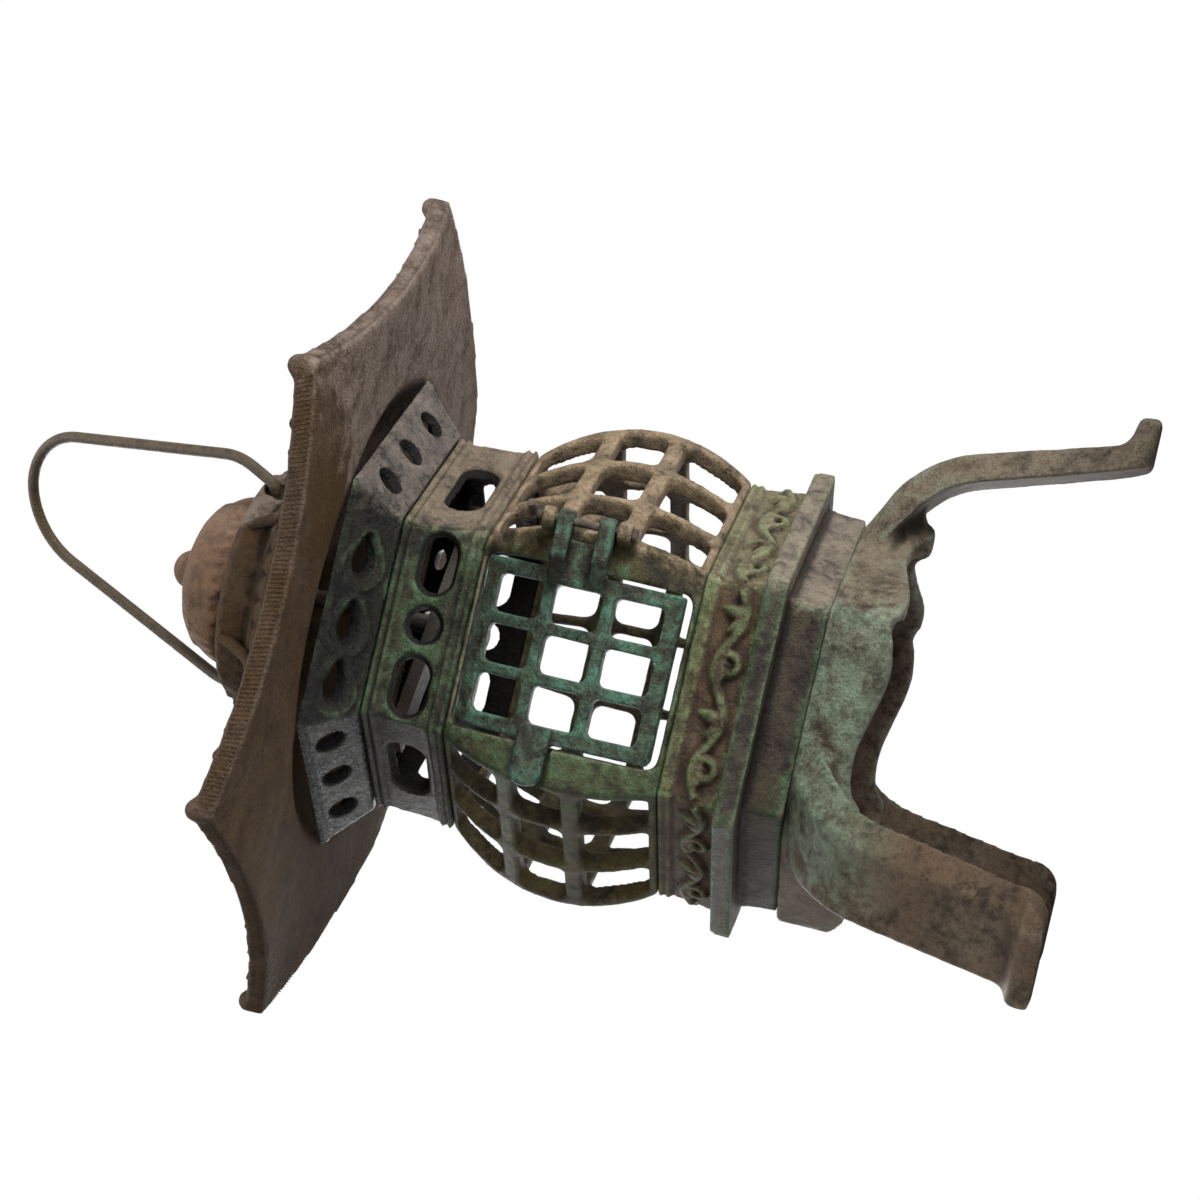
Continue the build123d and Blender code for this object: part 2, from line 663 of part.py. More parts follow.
# ---------------------------------------------------------------- candle cup
def candle_cup():
    pan = Pos(0, 0, Z_SCROLL) * Cylinder(PAN_R, PAN_H, align=MIN_Z)
    pan -= Pos(0, 0, Z_SCROLL + CUP_WALL) * Cylinder(PAN_R - CUP_WALL, PAN_H, align=MIN_Z)
    cup = Pos(0, 0, Z_SCROLL) * Cylinder(CUP_R, CUP_DEPTH + CUP_WALL, align=MIN_Z)
    bore = Cylinder(CUP_R - CUP_WALL, CUP_DEPTH, align=MIN_Z)
    bore = fillet(bore.edges().group_by(Axis.Z)[0], CUP_FOOT_ROUND)
    bore = Pos(0, 0, Z_SCROLL + CUP_WALL) * bore
    hole = Pos(0, 0, Z_SCROLL) * Cylinder(RIVET_R, 2 * CUP_DEPTH)
    return pan + cup - bore - hole


def cup_rivet():
    top = Z_SCROLL + CUP_WALL
    shank = Pos(0, 0, top) * Cylinder(RIVET_R, CUP_WALL + FLANGE_T, align=MAX_Z)
    head = Pos(0, 0, top) * Cylinder(RIVET_HEAD_R, RIVET_HEAD_H, align=MIN_Z)
    tail = Pos(0, 0, Z_FLANGE) * Cylinder(RIVET_HEAD_R, RIVET_HEAD_H, align=MAX_Z)
    return fillet((shank + head + tail).edges().group_by(Axis.Z)[-1], 0.9)


# ---------------------------------------------------------------- roof
def roof_section(turn):
    """Radial cut of the roof at an angle from the middle of a side."""
    share = abs(turn) / (TURN / 2)
    chord = ROOF_TIP_R * FLAT / cos(radians(turn))
    reach = chord - EAVE_BOW * (1 - share**2)
    lift = ROOF_TIP_RISE * share**2.6
    eave = Z_EAVE + lift
    low_r = ROOF_PEAK_R - 14.0

    def top_z(r):
        run = (r - ROOF_PEAK_R) / (reach - ROOF_PEAK_R)
        return Z_EAVE + (Z_PEAK - Z_EAVE) * (1 - run) ** 2.3 + lift * run**3

    steps = [0.0, 0.22, 0.46, 0.73, 1.0]
    radii = [ROOF_PEAK_R + (reach - ROOF_PEAK_R) * step for step in steps]
    top = Spline(*[(r, top_z(r)) for r in radii])
    hollow = ROOF_HOLLOW_R - 6.0
    under = Spline(
        (reach, eave - EAVE_T),
        ((reach + hollow) / 2, Z_ROOF + lift * 0.16 + 0.5),
        (hollow, Z_ROOF),
    )
    inner = Polyline(under @ 1, (low_r, Z_ROOF), (low_r, Z_PEAK), top @ 0)
    section = make_face(Curve() + [top, Line(top @ 1, under @ 0), under, inner])
    return Rot(Z=turn) * (Plane.XZ * section)


def roof():
    half = TURN / 2
    sections = [roof_section(turn) for turn in (-half, -0.7 * half, -0.35 * half, 0, 0.35 * half,
                                                0.7 * half, half)]
    sector = loft(sections)
    sectors = [turned(sector, half + TURN * side) for side in range(SIDES)]
    body = sectors[0].fuse(*sectors[1:])
    swell = ThreePointArc(
        (CROWN_R, Z_PEAK - 1.0),
        (CROWN_R - CROWN_BULGE / 2, (Z_PEAK + Z_CROWN) / 2 + CROWN_BULGE),
        (CROWN_TOP_R, Z_CROWN),
    )
    rest = Polyline(
        (CROWN_TOP_R, Z_CROWN), (0, Z_CROWN), (0, Z_ROOF + 8.0),
        (ROOF_PEAK_R - 8.0, Z_ROOF + 8.0), (CROWN_R, Z_PEAK - 1.0),
    )
    body += revolve(Plane.XZ * make_face(swell + rest), Axis.Z)
    body += [
        Pos(*polar(ROOF_TIP_R - TIP_BEAD_R, turn * TURN, Z_EAVE + ROOF_TIP_RISE - 1.4))
        * Sphere(TIP_BEAD_R) for turn in range(SIDES)
    ]
    body -= roof_hollow()
    body -= Pos(0, 0, Z_CROWN) * Cylinder(STUD_HOLE_R, LONG)
    return body - bail_sockets()


def roof_hollow():
    """Round hollow under the roof: it follows the top at the shell's thickness."""
    low_z = Z_ROOF - 1.0
    edge = Spline(
        (ROOF_HOLLOW_R, Z_ROOF), (ROOF_HOLLOW_R - 4.0, Z_ROOF + 4.0),
        (ROOF_PEAK_R + 14.0, Z_PEAK - 18.0), (ROOF_PEAK_R - 12.0, Z_PEAK - 7.0),
    )
    rest = Polyline(edge @ 1, (0, Z_PEAK - 7.0), (0, low_z), (ROOF_HOLLOW_R, low_z), edge @ 0)
    return revolve(Plane.XZ * make_face(edge + rest), Axis.Z)


def bail_sockets():
    """Blind holes for the bail's ends, each with a flat face sunk round it."""
    cuts = []
    for azimuth in (BAIL_AXIS, BAIL_AXIS + 180):
        aim = Rot(Z=azimuth) * Rot(Y=90)
        bore = Pos(0, 0, BAIL_END - 1.0) * Cylinder(WIRE_R + WIRE_FIT, CROWN_R, align=MIN_Z)
        spot = Pos(0, 0, SPOT_FACE_AT) * Cylinder(SPOT_FACE_R, CROWN_R, align=MIN_Z)
        cuts += [Pos(0, 0, Z_PIVOT) * aim * tool for tool in (bore, spot)]
    return cuts


# ---------------------------------------------------------------- finial, stud and bar
def finial():
    """Bulb with a small knob on top."""
    bulb = Ellipse(FINIAL_R, FINIAL_H + KNOB_H / 2)
    bulb &= Rectangle(FINIAL_R, 2 * FINIAL_H, align=(Align.MIN, Align.MIN))
    knob = Pos(0, FINIAL_H + KNOB_H - KNOB_R) * Circle(KNOB_R)
    knob &= Rectangle(KNOB_R, 2 * FINIAL_H, align=(Align.MIN, Align.MIN))
    body = revolve(Plane.XZ * bulb, Axis.Z) + revolve(Plane.XZ * knob, Axis.Z)
    return Pos(0, 0, Z_CROWN) * body - Pos(0, 0, Z_CROWN) * Cylinder(
        STUD_R, STUD_IN_FINIAL, align=MIN_Z
    )


def finial_stud():
    low = Z_STUD_NUT - STUD_BELOW_BAR
    return Pos(0, 0, low) * Cylinder(STUD_R, Z_CROWN + STUD_IN_FINIAL - low, align=MIN_Z)


def bridge_bar():
    bar = Box(2 * BAR_REACH, BAR_W, BAR_T, align=MIN_Z)
    bar = fillet(bar.edges().filter_by(Axis.Z), BAR_W / 4)
    bar -= Cylinder(STUD_HOLE_R, 4 * BAR_T)
    return turned(Pos(0, 0, Z_BAR) * bar, BAR_TURNS[0])


def stud_washer():
    ring = Cylinder(WASHER_R, WASHER_T, align=MAX_Z) - Cylinder(STUD_HOLE_R, 4 * WASHER_T)
    return Pos(0, 0, Z_BAR) * ring


def stud_nut():
    nut = hex_prism(NUT_W, NUT_H) - Cylinder(STUD_R, 4 * NUT_H)
    return Pos(0, 0, Z_STUD_NUT) * nut


# ---------------------------------------------------------------- bail
def hanging_bail():
    """One bent wire: ends turned into the crown, soft shoulders, a rounded top."""
    side = [(BAIL_FOOT, 0), BAIL_SHOULDER, (BAIL_APEX, BAIL_H)]
    points = [(BAIL_END, 0)] + side + [(-x, z) for x, z in reversed(side)] + [(-BAIL_END, 0)]
    bends = list(BAIL_BENDS) + list(reversed(BAIL_BENDS))
    path = FilletPolyline(*[(x, 0, z) for x, z in points], radius=bends)
    wire = sweep(Plane(origin=path @ 0, z_dir=path % 0) * Circle(WIRE_R), path=path)
    return Pos(0, 0, Z_PIVOT) * Rot(Z=BAIL_AXIS) * Rot(X=-BAIL_TILT) * wire


# ---------------------------------------------------------------- write every piece
PIECES = {
    "roof": roof,
    "finial": finial,
    "finial_stud": finial_stud,
    "bridge_bar": bridge_bar,
    "stud_washer": stud_washer,
    "stud_nut": stud_nut,
    "hanging_bail": hanging_bail,
    "crown_collar": crown_collar,
    "neck_band": neck_band,
    "fire_box": fire_box,
    "door": door,
    "hinge_pin": hinge_pin,
    "scroll_band": scroll_band,
    "base_tray": base_tray,
    "leg_stand": leg_stand,
    "candle_cup": candle_cup,
    "cup_rivet": cup_rivet,
    "base_bolts": base_bolts,
    "base_nuts": base_nuts,
}

os.makedirs("parts", exist_ok=True)
for name, make in PIECES.items():
    shape = make()
    if isinstance(shape, list):
        shape = Compound(children=shape)
    export_step(shape, f"parts/{name}.step")
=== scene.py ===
from math import acos, atan2, cos, pi, radians, sin, tan

import bmesh
import bpy
from mathutils import Matrix, Vector
from mathutils.bvhtree import BVHTree


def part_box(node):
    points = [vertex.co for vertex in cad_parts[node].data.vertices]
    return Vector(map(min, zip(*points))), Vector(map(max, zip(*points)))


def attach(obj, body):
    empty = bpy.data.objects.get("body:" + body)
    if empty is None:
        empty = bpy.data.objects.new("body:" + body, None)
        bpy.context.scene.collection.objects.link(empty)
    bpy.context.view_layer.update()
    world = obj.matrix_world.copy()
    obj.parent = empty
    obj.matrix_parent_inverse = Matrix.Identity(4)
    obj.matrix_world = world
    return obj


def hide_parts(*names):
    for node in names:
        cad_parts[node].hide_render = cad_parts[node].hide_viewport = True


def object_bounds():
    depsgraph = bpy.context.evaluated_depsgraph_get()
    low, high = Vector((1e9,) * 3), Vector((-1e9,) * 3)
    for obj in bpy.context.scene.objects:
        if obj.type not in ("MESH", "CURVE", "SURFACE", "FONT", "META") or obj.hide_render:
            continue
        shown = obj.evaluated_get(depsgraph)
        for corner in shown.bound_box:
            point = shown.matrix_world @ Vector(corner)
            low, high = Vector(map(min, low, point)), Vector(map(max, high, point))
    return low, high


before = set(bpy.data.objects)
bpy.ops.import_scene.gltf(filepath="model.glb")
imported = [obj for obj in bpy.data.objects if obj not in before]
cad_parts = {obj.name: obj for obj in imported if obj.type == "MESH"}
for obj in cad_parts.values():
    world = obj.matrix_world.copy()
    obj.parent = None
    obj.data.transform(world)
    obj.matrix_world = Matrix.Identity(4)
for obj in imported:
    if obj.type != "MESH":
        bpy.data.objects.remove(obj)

# Looks of the hexagonal cast-iron pagoda lantern: castings with soft sand-cast edges,
# roof tiles, ornament and patina.  Metres; the door faces -Y, and each side is 60 degrees on.

MM = 0.001
SIDES = 6
TURN = 2 * pi / SIDES
FLAT = cos(TURN / 2)           # how far out a side's middle lies, as a share of its corners
HALF_SIDE = tan(TURN / 2)      # half a side's length, as a share of how far out its middle lies
cad_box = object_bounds()

# ---------------------------------------------------------------- sizes of the cast detail
# Roof tiles
TILE_W = 8.2 * MM              # across, down the slope, and how far a tile stands up
TILE_L = 11.0 * MM
TILE_T = 1.15 * MM
TILE_ROW = 7.4 * MM            # from one row to the next
TILES_ACROSS = 32              # places for tiles in a row, before the hips cut it off
TILE_SWAY = 0.05               # how far a tile is turned out of line, in radians
TILE_SIZES = (0.94, 1.06)
TILE_RIM = 3.0 * MM            # bare rim outside the lowest row
TILE_HIP_GAP = 2.2 * MM        # bare strip beside each hip
TILE_CROWN_GAP = 1.0 * MM
ROOT_DEPTH = 0.8 * MM          # how deep a tile or scale is rooted in the roof
BLUNT_FROM = 0.55              # share of its length from which a tile grows narrow,
BLUNT_SHARE = 0.55             # by how much, and how suddenly
BLUNT_CURVE = 2.5
HEAD_SHARE = 0.25              # thickness at a tile's head, as a share of its foot's
TILE_DOME = 0.85

# Eaves and hips
EAVE_BOW = 4.4 * MM            # how far an eave's middle lies behind its tips
EAVE_T = 7.0 * MM              # height of the eave's band
EAVE_DROP = 43.0 * MM          # from the crown's top down to the band's foot
TIP_RISE = 5.7 * MM            # how far the eave's tips rise over its middle
TIP_CURVE = 2.6
HIP_ROLL = 1.9 * MM
HIP_TAPER = 0.25
HIP_END = 9.0 * MM             # bare end of each hip, at its tip
TICK_PITCH = 1.35 * MM         # fine ribs of the eave's band
TICK_W = 0.62 * MM
TICK_OUT = 0.07 * MM
TICK_SLANT = 0.27
TICK_SPAN = 0.93               # share of the side that has ribs
TICK_RINGS = ((-0.36, 0.4), (-0.30, 1.0), (0.30, 1.0), (0.36, 0.4))   # height, thickness
TICK_FACETS = 6

# Crown and finial
CROWN_R = 36.0 * MM
CROWN_SCALE = (5.4 * MM, 6.2 * MM, 0.85 * MM)    # width, length and thickness
CROWN_SCALE_BEND = 24.0 * MM
CROWN_SCALE_DROP = 6.2 * MM    # from the crown's top down to the lowest ring of scales
CROWN_SCALE_RISE = 2.6 * MM    # from one ring to the next
PETAL = (4.4 * MM, 9.0 * MM, 0.70 * MM)
PETAL_BEND = 21.0 * MM
PETAL_LOW = 10.0 * MM          # from the crown's top up to the lowest ring of petals
PETAL_RISE = 6.4 * MM
SCALE_SIZES = (0.85, 1.1)
DOME_R = 26.6 * MM             # the finial's dome, and the button on it
DOME_H = 19.6 * MM
DOME_SHOULDER = 2.4
DOME_FULLNESS = 2.2
KNOB_R = 6.6 * MM

# Collar and neck
NECK_R = 59.6 * MM
COLLAR_FOOT_R = 61.6 * MM
DROPS_AT = (13.6 * MM, -7.0 * MM, -25.6 * MM)   # pierced drops of the collar's door side
DROP_R = 7.1 * MM
DROP_TIP_R = 2.7 * MM
DROP_LENGTH = 8.6 * MM
DROP_MARGIN = 0.9 * MM         # what a drop's rim leaves free at the collar's edges
RIM_BEAD = 1.05 * MM
LIP_BEAD = 0.75 * MM
LIP_DROP = 1.5 * MM            # from the collar's top edge down to its lip

# Vine of the ornament band
SCROLL_H = 14.2 * MM
SCROLL_FOOT_MARGIN = 1.5 * MM  # what the vine leaves free at the band's foot and top
SCROLL_TOP_MARGIN = 1.3 * MM
SCROLL_FILL = 0.95             # share of the side that it fills
WAVES = 2                      # waves of the stem on each side
VINE_STEM = 1.75 * MM
VINE_SWING = 3.2 * MM          # height of the stem's waves
VINE_CURL = 4.9 * MM           # radius of a curl, how far it winds and how much it narrows
CURL_FROM = radians(170)
CURL_WIND = radians(500)
CURL_NARROWING = 0.70
CURL_SHIFT = 1.0 * MM
LEAVES = ((0.25, 8.0, 1.15), (-0.80, 7.2, 1.0))   # lean in radians, length in mm, plumpness
LEAF_SWAY = 1.2
LEAF_DROP = 3.0 * MM
STEM_PROUD = 0.5 * MM          # how far the middle of stem, curl and leaf stands off the band
CURL_PROUD = 0.7 * MM
LEAF_PROUD = 0.4 * MM
STEM_SHARE = 0.85              # thickness of stem and curl, as a share of VINE_STEM
CURL_SHARE = 0.72
LEAF_FOOT = 0.35               # the same for a leaf's foot, and how much its belly adds
LEAF_BELLY = 0.80

# Sand-cast skin, and the marks for pale dirt and painted highlight on its edges and painted shade
# in its openings
FULL_EDGE = 0.42 * MM          # an edge that stands this far proud counts in full
NEAR_ROUNDS = 2                # rounds of smoothing that an edge is measured between
WIDE_ROUNDS = 12
HOLLOW_ROUNDS = 3
HOLLOW_REACH = 15.0 * MM       # an opening narrower than this gets painted shade inside
OFF_SKIN = 0.3 * MM            # where the look across an opening starts
SHADE_FROM = 0.3 * MM          # depth below a casting's face where the painted shade starts, and over what further depth it becomes full
SHADE_FADE = 1.2 * MM          # and over what further depth it becomes full

# Starts of the lines that look for a surface from outside
BEFORE_BAND = 0.2
BEFORE_EAVE = 0.3
OVER_ROOF = 0.5


# ---------------------------------------------------------------- node trees
def plug(tree, kind, inputs=None, **settings):
    """Adds a node; each input is a value or another node's output."""
    node = tree.nodes.new(kind)
    for key, value in settings.items():
        setattr(node, key, value)
    for key, value in (inputs or {}).items():
        if isinstance(key, int):
            socket = node.inputs[key]
        else:
            socket = [s for s in node.inputs if s.enabled and s.name == key][0]
        if isinstance(value, bpy.types.Node):
            value = first_out(value)
        if isinstance(value, bpy.types.NodeSocket):
            tree.links.new(value, socket)
        else:
            socket.default_value = value
    return node


def first_out(node):
    """A node's first output in use."""
    return [s for s in node.outputs if s.enabled][0]


def out(node, name):
    """The output in use with this name."""
    return [s for s in node.outputs if s.enabled and s.name == name][0]


def maths(tree, operation, *values):
    return plug(tree, "ShaderNodeMath", dict(enumerate(values)), operation=operation)


def vector_maths(tree, operation, *values):
    return plug(tree, "ShaderNodeVectorMath", dict(enumerate(values)), operation=operation)


SOCKETS = {
    "geometry": "NodeSocketGeometry", "float": "NodeSocketFloat", "int": "NodeSocketInt",
    "object": "NodeSocketObject", "material": "NodeSocketMaterial",
}


def geometry_tree(name, **inputs):
    """A Geometry Nodes tree with named inputs, and the outputs that give them inside it."""
    tree = bpy.data.node_groups.new(name, "GeometryNodeTree")
    tree.interface.new_socket("Geometry", in_out="INPUT", socket_type=SOCKETS["geometry"])
    for key, kind in inputs.items():
        tree.interface.new_socket(key, in_out="INPUT", socket_type=SOCKETS[kind])
    tree.interface.new_socket("Geometry", in_out="OUTPUT", socket_type=SOCKETS["geometry"])
    return tree, tree.nodes.new("NodeGroupInput").outputs


def close_tree(tree, given, geometry):
    """Ends a tree in Realize Instances and Set Material."""
    real = plug(tree, "GeometryNodeRealizeInstances", {"Geometry": geometry})
    coat = plug(tree, "GeometryNodeSetMaterial",
                {"Geometry": real, "Material": given["Material"]})
    end = tree.nodes.new("NodeGroupOutput")
    tree.links.new(first_out(coat), end.inputs[0])
    return tree


def run_tree(piece, tree, **values):
    """Gives the piece a tree with its inputs set by identifier."""
    step = piece.modifiers.new(tree.name, "NODES")
    step.node_group = tree
    for item in tree.interface.items_tree:
        if item.item_type == "SOCKET" and item.in_out == "INPUT" and item.name in values:
            step[item.identifier] = values[item.name]


def placed(name, data):
    """A new object in the scene."""
    piece = bpy.data.objects.new(name, data)
    bpy.context.scene.collection.objects.link(piece)
    return piece


def drawn(name, work):
    """What a bmesh holds, as a new object."""
    mesh = bpy.data.meshes.new(name)
    work.to_mesh(mesh)
    work.free()
    return placed(name, mesh)


def settle(piece, name):
    """The evaluated piece as a plain mesh object at the origin; the worked piece is removed."""
    view = bpy.context.evaluated_depsgraph_get()
    mesh = bpy.data.meshes.new_from_object(piece.evaluated_get(view))
    bpy.data.objects.remove(piece)
    mesh.name = name
    return placed(name, mesh)


def blurred(tree, value, rounds, kind="FLOAT_VECTOR"):
    """A value evened out between neighbouring points."""
    return plug(tree, "GeometryNodeBlurAttribute", {"Value": value, "Iterations": rounds},
                data_type=kind)


def stored(tree, geometry, name, value, kind="FLOAT"):
    """The geometry with a value kept on its points under a name."""
    return plug(tree, "GeometryNodeStoreNamedAttribute",
                {"Geometry": geometry, "Name": name, "Value": value},
                data_type=kind, domain="POINT")


def aligned(tree, axis, vector, rotation=None, pivot=None):
    """A rotation that points an axis along a vector, about a pivot axis if one is given."""
    inputs = {"Vector": vector}
    if rotation:
        inputs["Rotation"] = rotation
    return plug(tree, "FunctionNodeAlignRotationToVector", inputs, axis=axis,
                pivot_axis=pivot or "AUTO")


def chance(tree, low, high, seed):
    """A random number between two others for each point."""
    pick = plug(tree, "FunctionNodeRandomValue", {"Min": low, "Max": high, "Seed": seed},
                data_type="FLOAT")
    return out(pick, "Value")


def laid_on(tree, points, form, aim, reach, head):
    """Points moved along aim onto a form, and how a tile lies there, its head pointing so."""
    target = plug(tree, "GeometryNodeObjectInfo", {"Object": form})
    meet = plug(tree, "GeometryNodeRaycast",
                {"Target Geometry": out(target, "Geometry"), "Ray Direction": aim,
                 "Ray Length": reach})
    marked = stored(tree, points, "slope", out(meet, "Hit Normal"), "FLOAT_VECTOR")
    seated = plug(tree, "GeometryNodeSetPosition",
                  {"Geometry": marked, "Selection": out(meet, "Is Hit"),
                   "Position": out(meet, "Hit Position")})
    slope = plug(tree, "GeometryNodeInputNamedAttribute", {"Name": "slope"},
                 data_type="FLOAT_VECTOR")
    flat = aligned(tree, "Z", out(slope, "Attribute"))
    return seated, aligned(tree, "Y", head, flat, "Z")


def copies_on(tree, points, shape, rotation, size=None):
    """One copy of a shape object on each point."""
    source = plug(tree, "GeometryNodeObjectInfo", {"Object": shape})
    inputs = {"Points": points, "Instance": out(source, "Geometry"), "Rotation": rotation}
    if size:
        inputs["Scale"] = size
    return plug(tree, "GeometryNodeInstanceOnPoints", inputs)


def six_round(tree, geometry, copies):
    """Copies of a geometry turned about the axis of the lantern."""
    points = plug(tree, "GeometryNodePoints", {"Count": copies})
    index = plug(tree, "GeometryNodeInputIndex")
    angle = maths(tree, "MULTIPLY", index, TURN)
    turn = plug(tree, "ShaderNodeCombineXYZ", {"Z": angle})
    spin = plug(tree, "FunctionNodeEulerToRotation", {"Euler": turn})
    return plug(tree, "GeometryNodeInstanceOnPoints",
                {"Points": points, "Instance": geometry, "Rotation": spin})


def bead_tree():
    """A round bead of tapered thickness swept along curves, then copied round the sides."""
    tree, given = geometry_tree("bead", Bead="float", Copies="int", Material="material")
    ring = plug(tree, "GeometryNodeCurvePrimitiveCircle",
                {"Resolution": 8, "Radius": given["Bead"]}, mode="RADIUS")
    taper = plug(tree, "GeometryNodeInputRadius")
    tube = plug(tree, "GeometryNodeCurveToMesh",
                {"Curve": given["Geometry"], "Profile Curve": ring, "Fill Caps": True,
                 "Scale": taper})
    return close_tree(tree, given, six_round(tree, tube, given["Copies"]))


def skin_tree():
    """Sand-cast skin: softened edges, shallow dents, and marks of its edges and hollows."""
    tree, given = geometry_tree("cast_skin", Softness="int", Dent="float", Spread="float",
                                Seed="float", Material="material")
    place = plug(tree, "GeometryNodeInputPosition")
    normal = plug(tree, "GeometryNodeInputNormal")
    soft = blurred(tree, place, given["Softness"])
    eased = plug(tree, "GeometryNodeSetPosition",
                 {"Geometry": given["Geometry"], "Position": soft})
    rough = plug(tree, "ShaderNodeTexNoise",
                 {"W": given["Seed"], "Scale": given["Spread"], "Detail": 3.0},
                 noise_dimensions="4D")
    height = maths(tree, "MULTIPLY", maths(tree, "SUBTRACT", out(rough, "Fac"), 0.5),
                   given["Dent"])
    push = plug(tree, "ShaderNodeVectorMath", {0: normal, 3: height}, operation="SCALE")
    dented = plug(tree, "GeometryNodeSetPosition", {"Geometry": eased, "Offset": push})

    # How far each point stands proud of its neighbours; the finish paints pale dirt and painted
    # highlight on proud edges and painted shade in sunk creases.
    near = blurred(tree, place, NEAR_ROUNDS)
    apart = vector_maths(tree, "SUBTRACT", near, blurred(tree, place, WIDE_ROUNDS))
    proud = vector_maths(tree, "DOT_PRODUCT", apart, normal)
    edge = maths(tree, "DIVIDE", out(proud, "Value"), FULL_EDGE)
    marked = stored(tree, dented, "edge", edge)

    # How narrow the opening in front of each point is; the finish paints shade inside narrow
    # openings.
    lift = vector_maths(tree, "MULTIPLY", normal, (OFF_SKIN,) * 3)
    lifted = vector_maths(tree, "ADD", place, lift)
    across = plug(tree, "GeometryNodeRaycast",
                  {"Target Geometry": dented, "Source Position": lifted,
                   "Ray Direction": normal, "Ray Length": HOLLOW_REACH})
    width = maths(tree, "DIVIDE", out(across, "Hit Distance"), HOLLOW_REACH)
    shut = maths(tree, "MULTIPLY", out(across, "Is Hit"), maths(tree, "SUBTRACT", 1.0, width))
    hollow_marked = stored(tree, marked, "hollow", blurred(tree, shut, HOLLOW_ROUNDS, "FLOAT"))
    smooth = plug(tree, "GeometryNodeSetShadeSmooth", {"Geometry": hollow_marked})
    return close_tree(tree, given, smooth)


def tile_tree():
    """Staggered rows of tiles dropped on one panel of a roof, then copied round the sides."""
    tree, given = geometry_tree("roof_tiles", Roof="object", Tile="object", Across="float",
                                Row="float", Eave="float", Bow="float", Crown="float",
                                Hip="float", Copies="int", Seed="int", Material="material")
    eave = given["Eave"]
    span = maths(tree, "SUBTRACT", eave, given["Crown"])
    rows = maths(tree, "FLOOR", maths(tree, "DIVIDE", span, given["Row"]))
    count = maths(tree, "MULTIPLY", maths(tree, "ADD", rows, 1.0), TILES_ACROSS)
    points = plug(tree, "GeometryNodePoints", {"Count": count})
    index = plug(tree, "GeometryNodeInputIndex")
    row = maths(tree, "FLOOR", maths(tree, "DIVIDE", index, TILES_ACROSS))
    column = maths(tree, "MODULO", index, TILES_ACROSS)
    stagger = maths(tree, "MULTIPLY", maths(tree, "MODULO", row, 2.0), 0.5)
    middle = maths(tree, "SUBTRACT", maths(tree, "ADD", column, stagger), TILES_ACROSS / 2)
    u = maths(tree, "MULTIPLY", middle, given["Across"])

    share = maths(tree, "DIVIDE", u, maths(tree, "MULTIPLY", eave, HALF_SIDE))
    fade = maths(tree, "SUBTRACT", 1.0, maths(tree, "DIVIDE", row, rows))
    curve = maths(tree, "MULTIPLY", maths(tree, "MULTIPLY", share, share), fade)
    bow = maths(tree, "MULTIPLY", curve, given["Bow"])
    climbed = maths(tree, "SUBTRACT", eave, maths(tree, "MULTIPLY", row, given["Row"]))
    out_at = maths(tree, "ADD", climbed, bow)
    y = maths(tree, "MULTIPLY", out_at, -1.0)
    spot = plug(tree, "ShaderNodeCombineXYZ", {"X": u, "Y": y, "Z": OVER_ROOF})
    laid = plug(tree, "GeometryNodeSetPosition", {"Geometry": points, "Position": spot})
    half = maths(tree, "SUBTRACT", maths(tree, "MULTIPLY", out_at, HALF_SIDE), given["Hip"])
    away = maths(tree, "GREATER_THAN", maths(tree, "ABSOLUTE", u), half)
    kept = plug(tree, "GeometryNodeDeleteGeometry", {"Geometry": laid, "Selection": away},
                domain="POINT")

    down, up_slope = laid_on(tree, kept, given["Roof"], aim=(0.0, 0.0, -1.0), reach=1.0,
                             head=(0.0, 1.0, 0.0))
    sway = plug(tree, "ShaderNodeCombineXYZ",
                {"Z": chance(tree, -TILE_SWAY, TILE_SWAY, given["Seed"])})
    loose = plug(tree, "FunctionNodeRotateRotation",
                 {"Rotation": up_slope,
                  "Rotate By": plug(tree, "FunctionNodeEulerToRotation", {"Euler": sway})},
                 rotation_space="LOCAL")
    tiles = copies_on(tree, down, given["Tile"], loose,
                      chance(tree, *TILE_SIZES, given["Seed"]))
    panel = plug(tree, "GeometryNodeRealizeInstances", {"Geometry": tiles})
    return close_tree(tree, given, six_round(tree, panel, given["Copies"]))


def scale_tree():
    """Staggered rings of scales laid on a round form from outside, pointing down."""
    tree, given = geometry_tree("scale_rings", Form="object", Scale="object", Rows="int",
                                Count="int", Low="float", Rise="float", Seed="int",
                                Material="material")
    count = given["Count"]
    points = plug(tree, "GeometryNodePoints",
                  {"Count": maths(tree, "MULTIPLY", given["Rows"], count)})
    index = plug(tree, "GeometryNodeInputIndex")
    row = maths(tree, "FLOOR", maths(tree, "DIVIDE", index, count))
    stagger = maths(tree, "MULTIPLY", maths(tree, "MODULO", row, 2.0), 0.5)
    place = maths(tree, "ADD", maths(tree, "MODULO", index, count), stagger)
    angle = maths(tree, "MULTIPLY", maths(tree, "DIVIDE", place, count), 2 * pi)
    flat = plug(tree, "ShaderNodeCombineXYZ",
                {"X": maths(tree, "COSINE", angle), "Y": maths(tree, "SINE", angle)})
    height = maths(tree, "ADD", given["Low"], maths(tree, "MULTIPLY", row, given["Rise"]))
    level = plug(tree, "ShaderNodeCombineXYZ", {"Z": height})
    ring = plug(tree, "GeometryNodeSetPosition",
                {"Geometry": points, "Position": vector_maths(tree, "ADD", flat, level)})
    inward = vector_maths(tree, "MULTIPLY", flat, (-1.0, -1.0, -1.0))
    seated, hang = laid_on(tree, ring, given["Form"], aim=inward, reach=2.0,
                           head=(0.0, 0.0, 1.0))
    scales = copies_on(tree, seated, given["Scale"], hang,
                       chance(tree, *SCALE_SIZES, given["Seed"]))
    return close_tree(tree, given, scales)


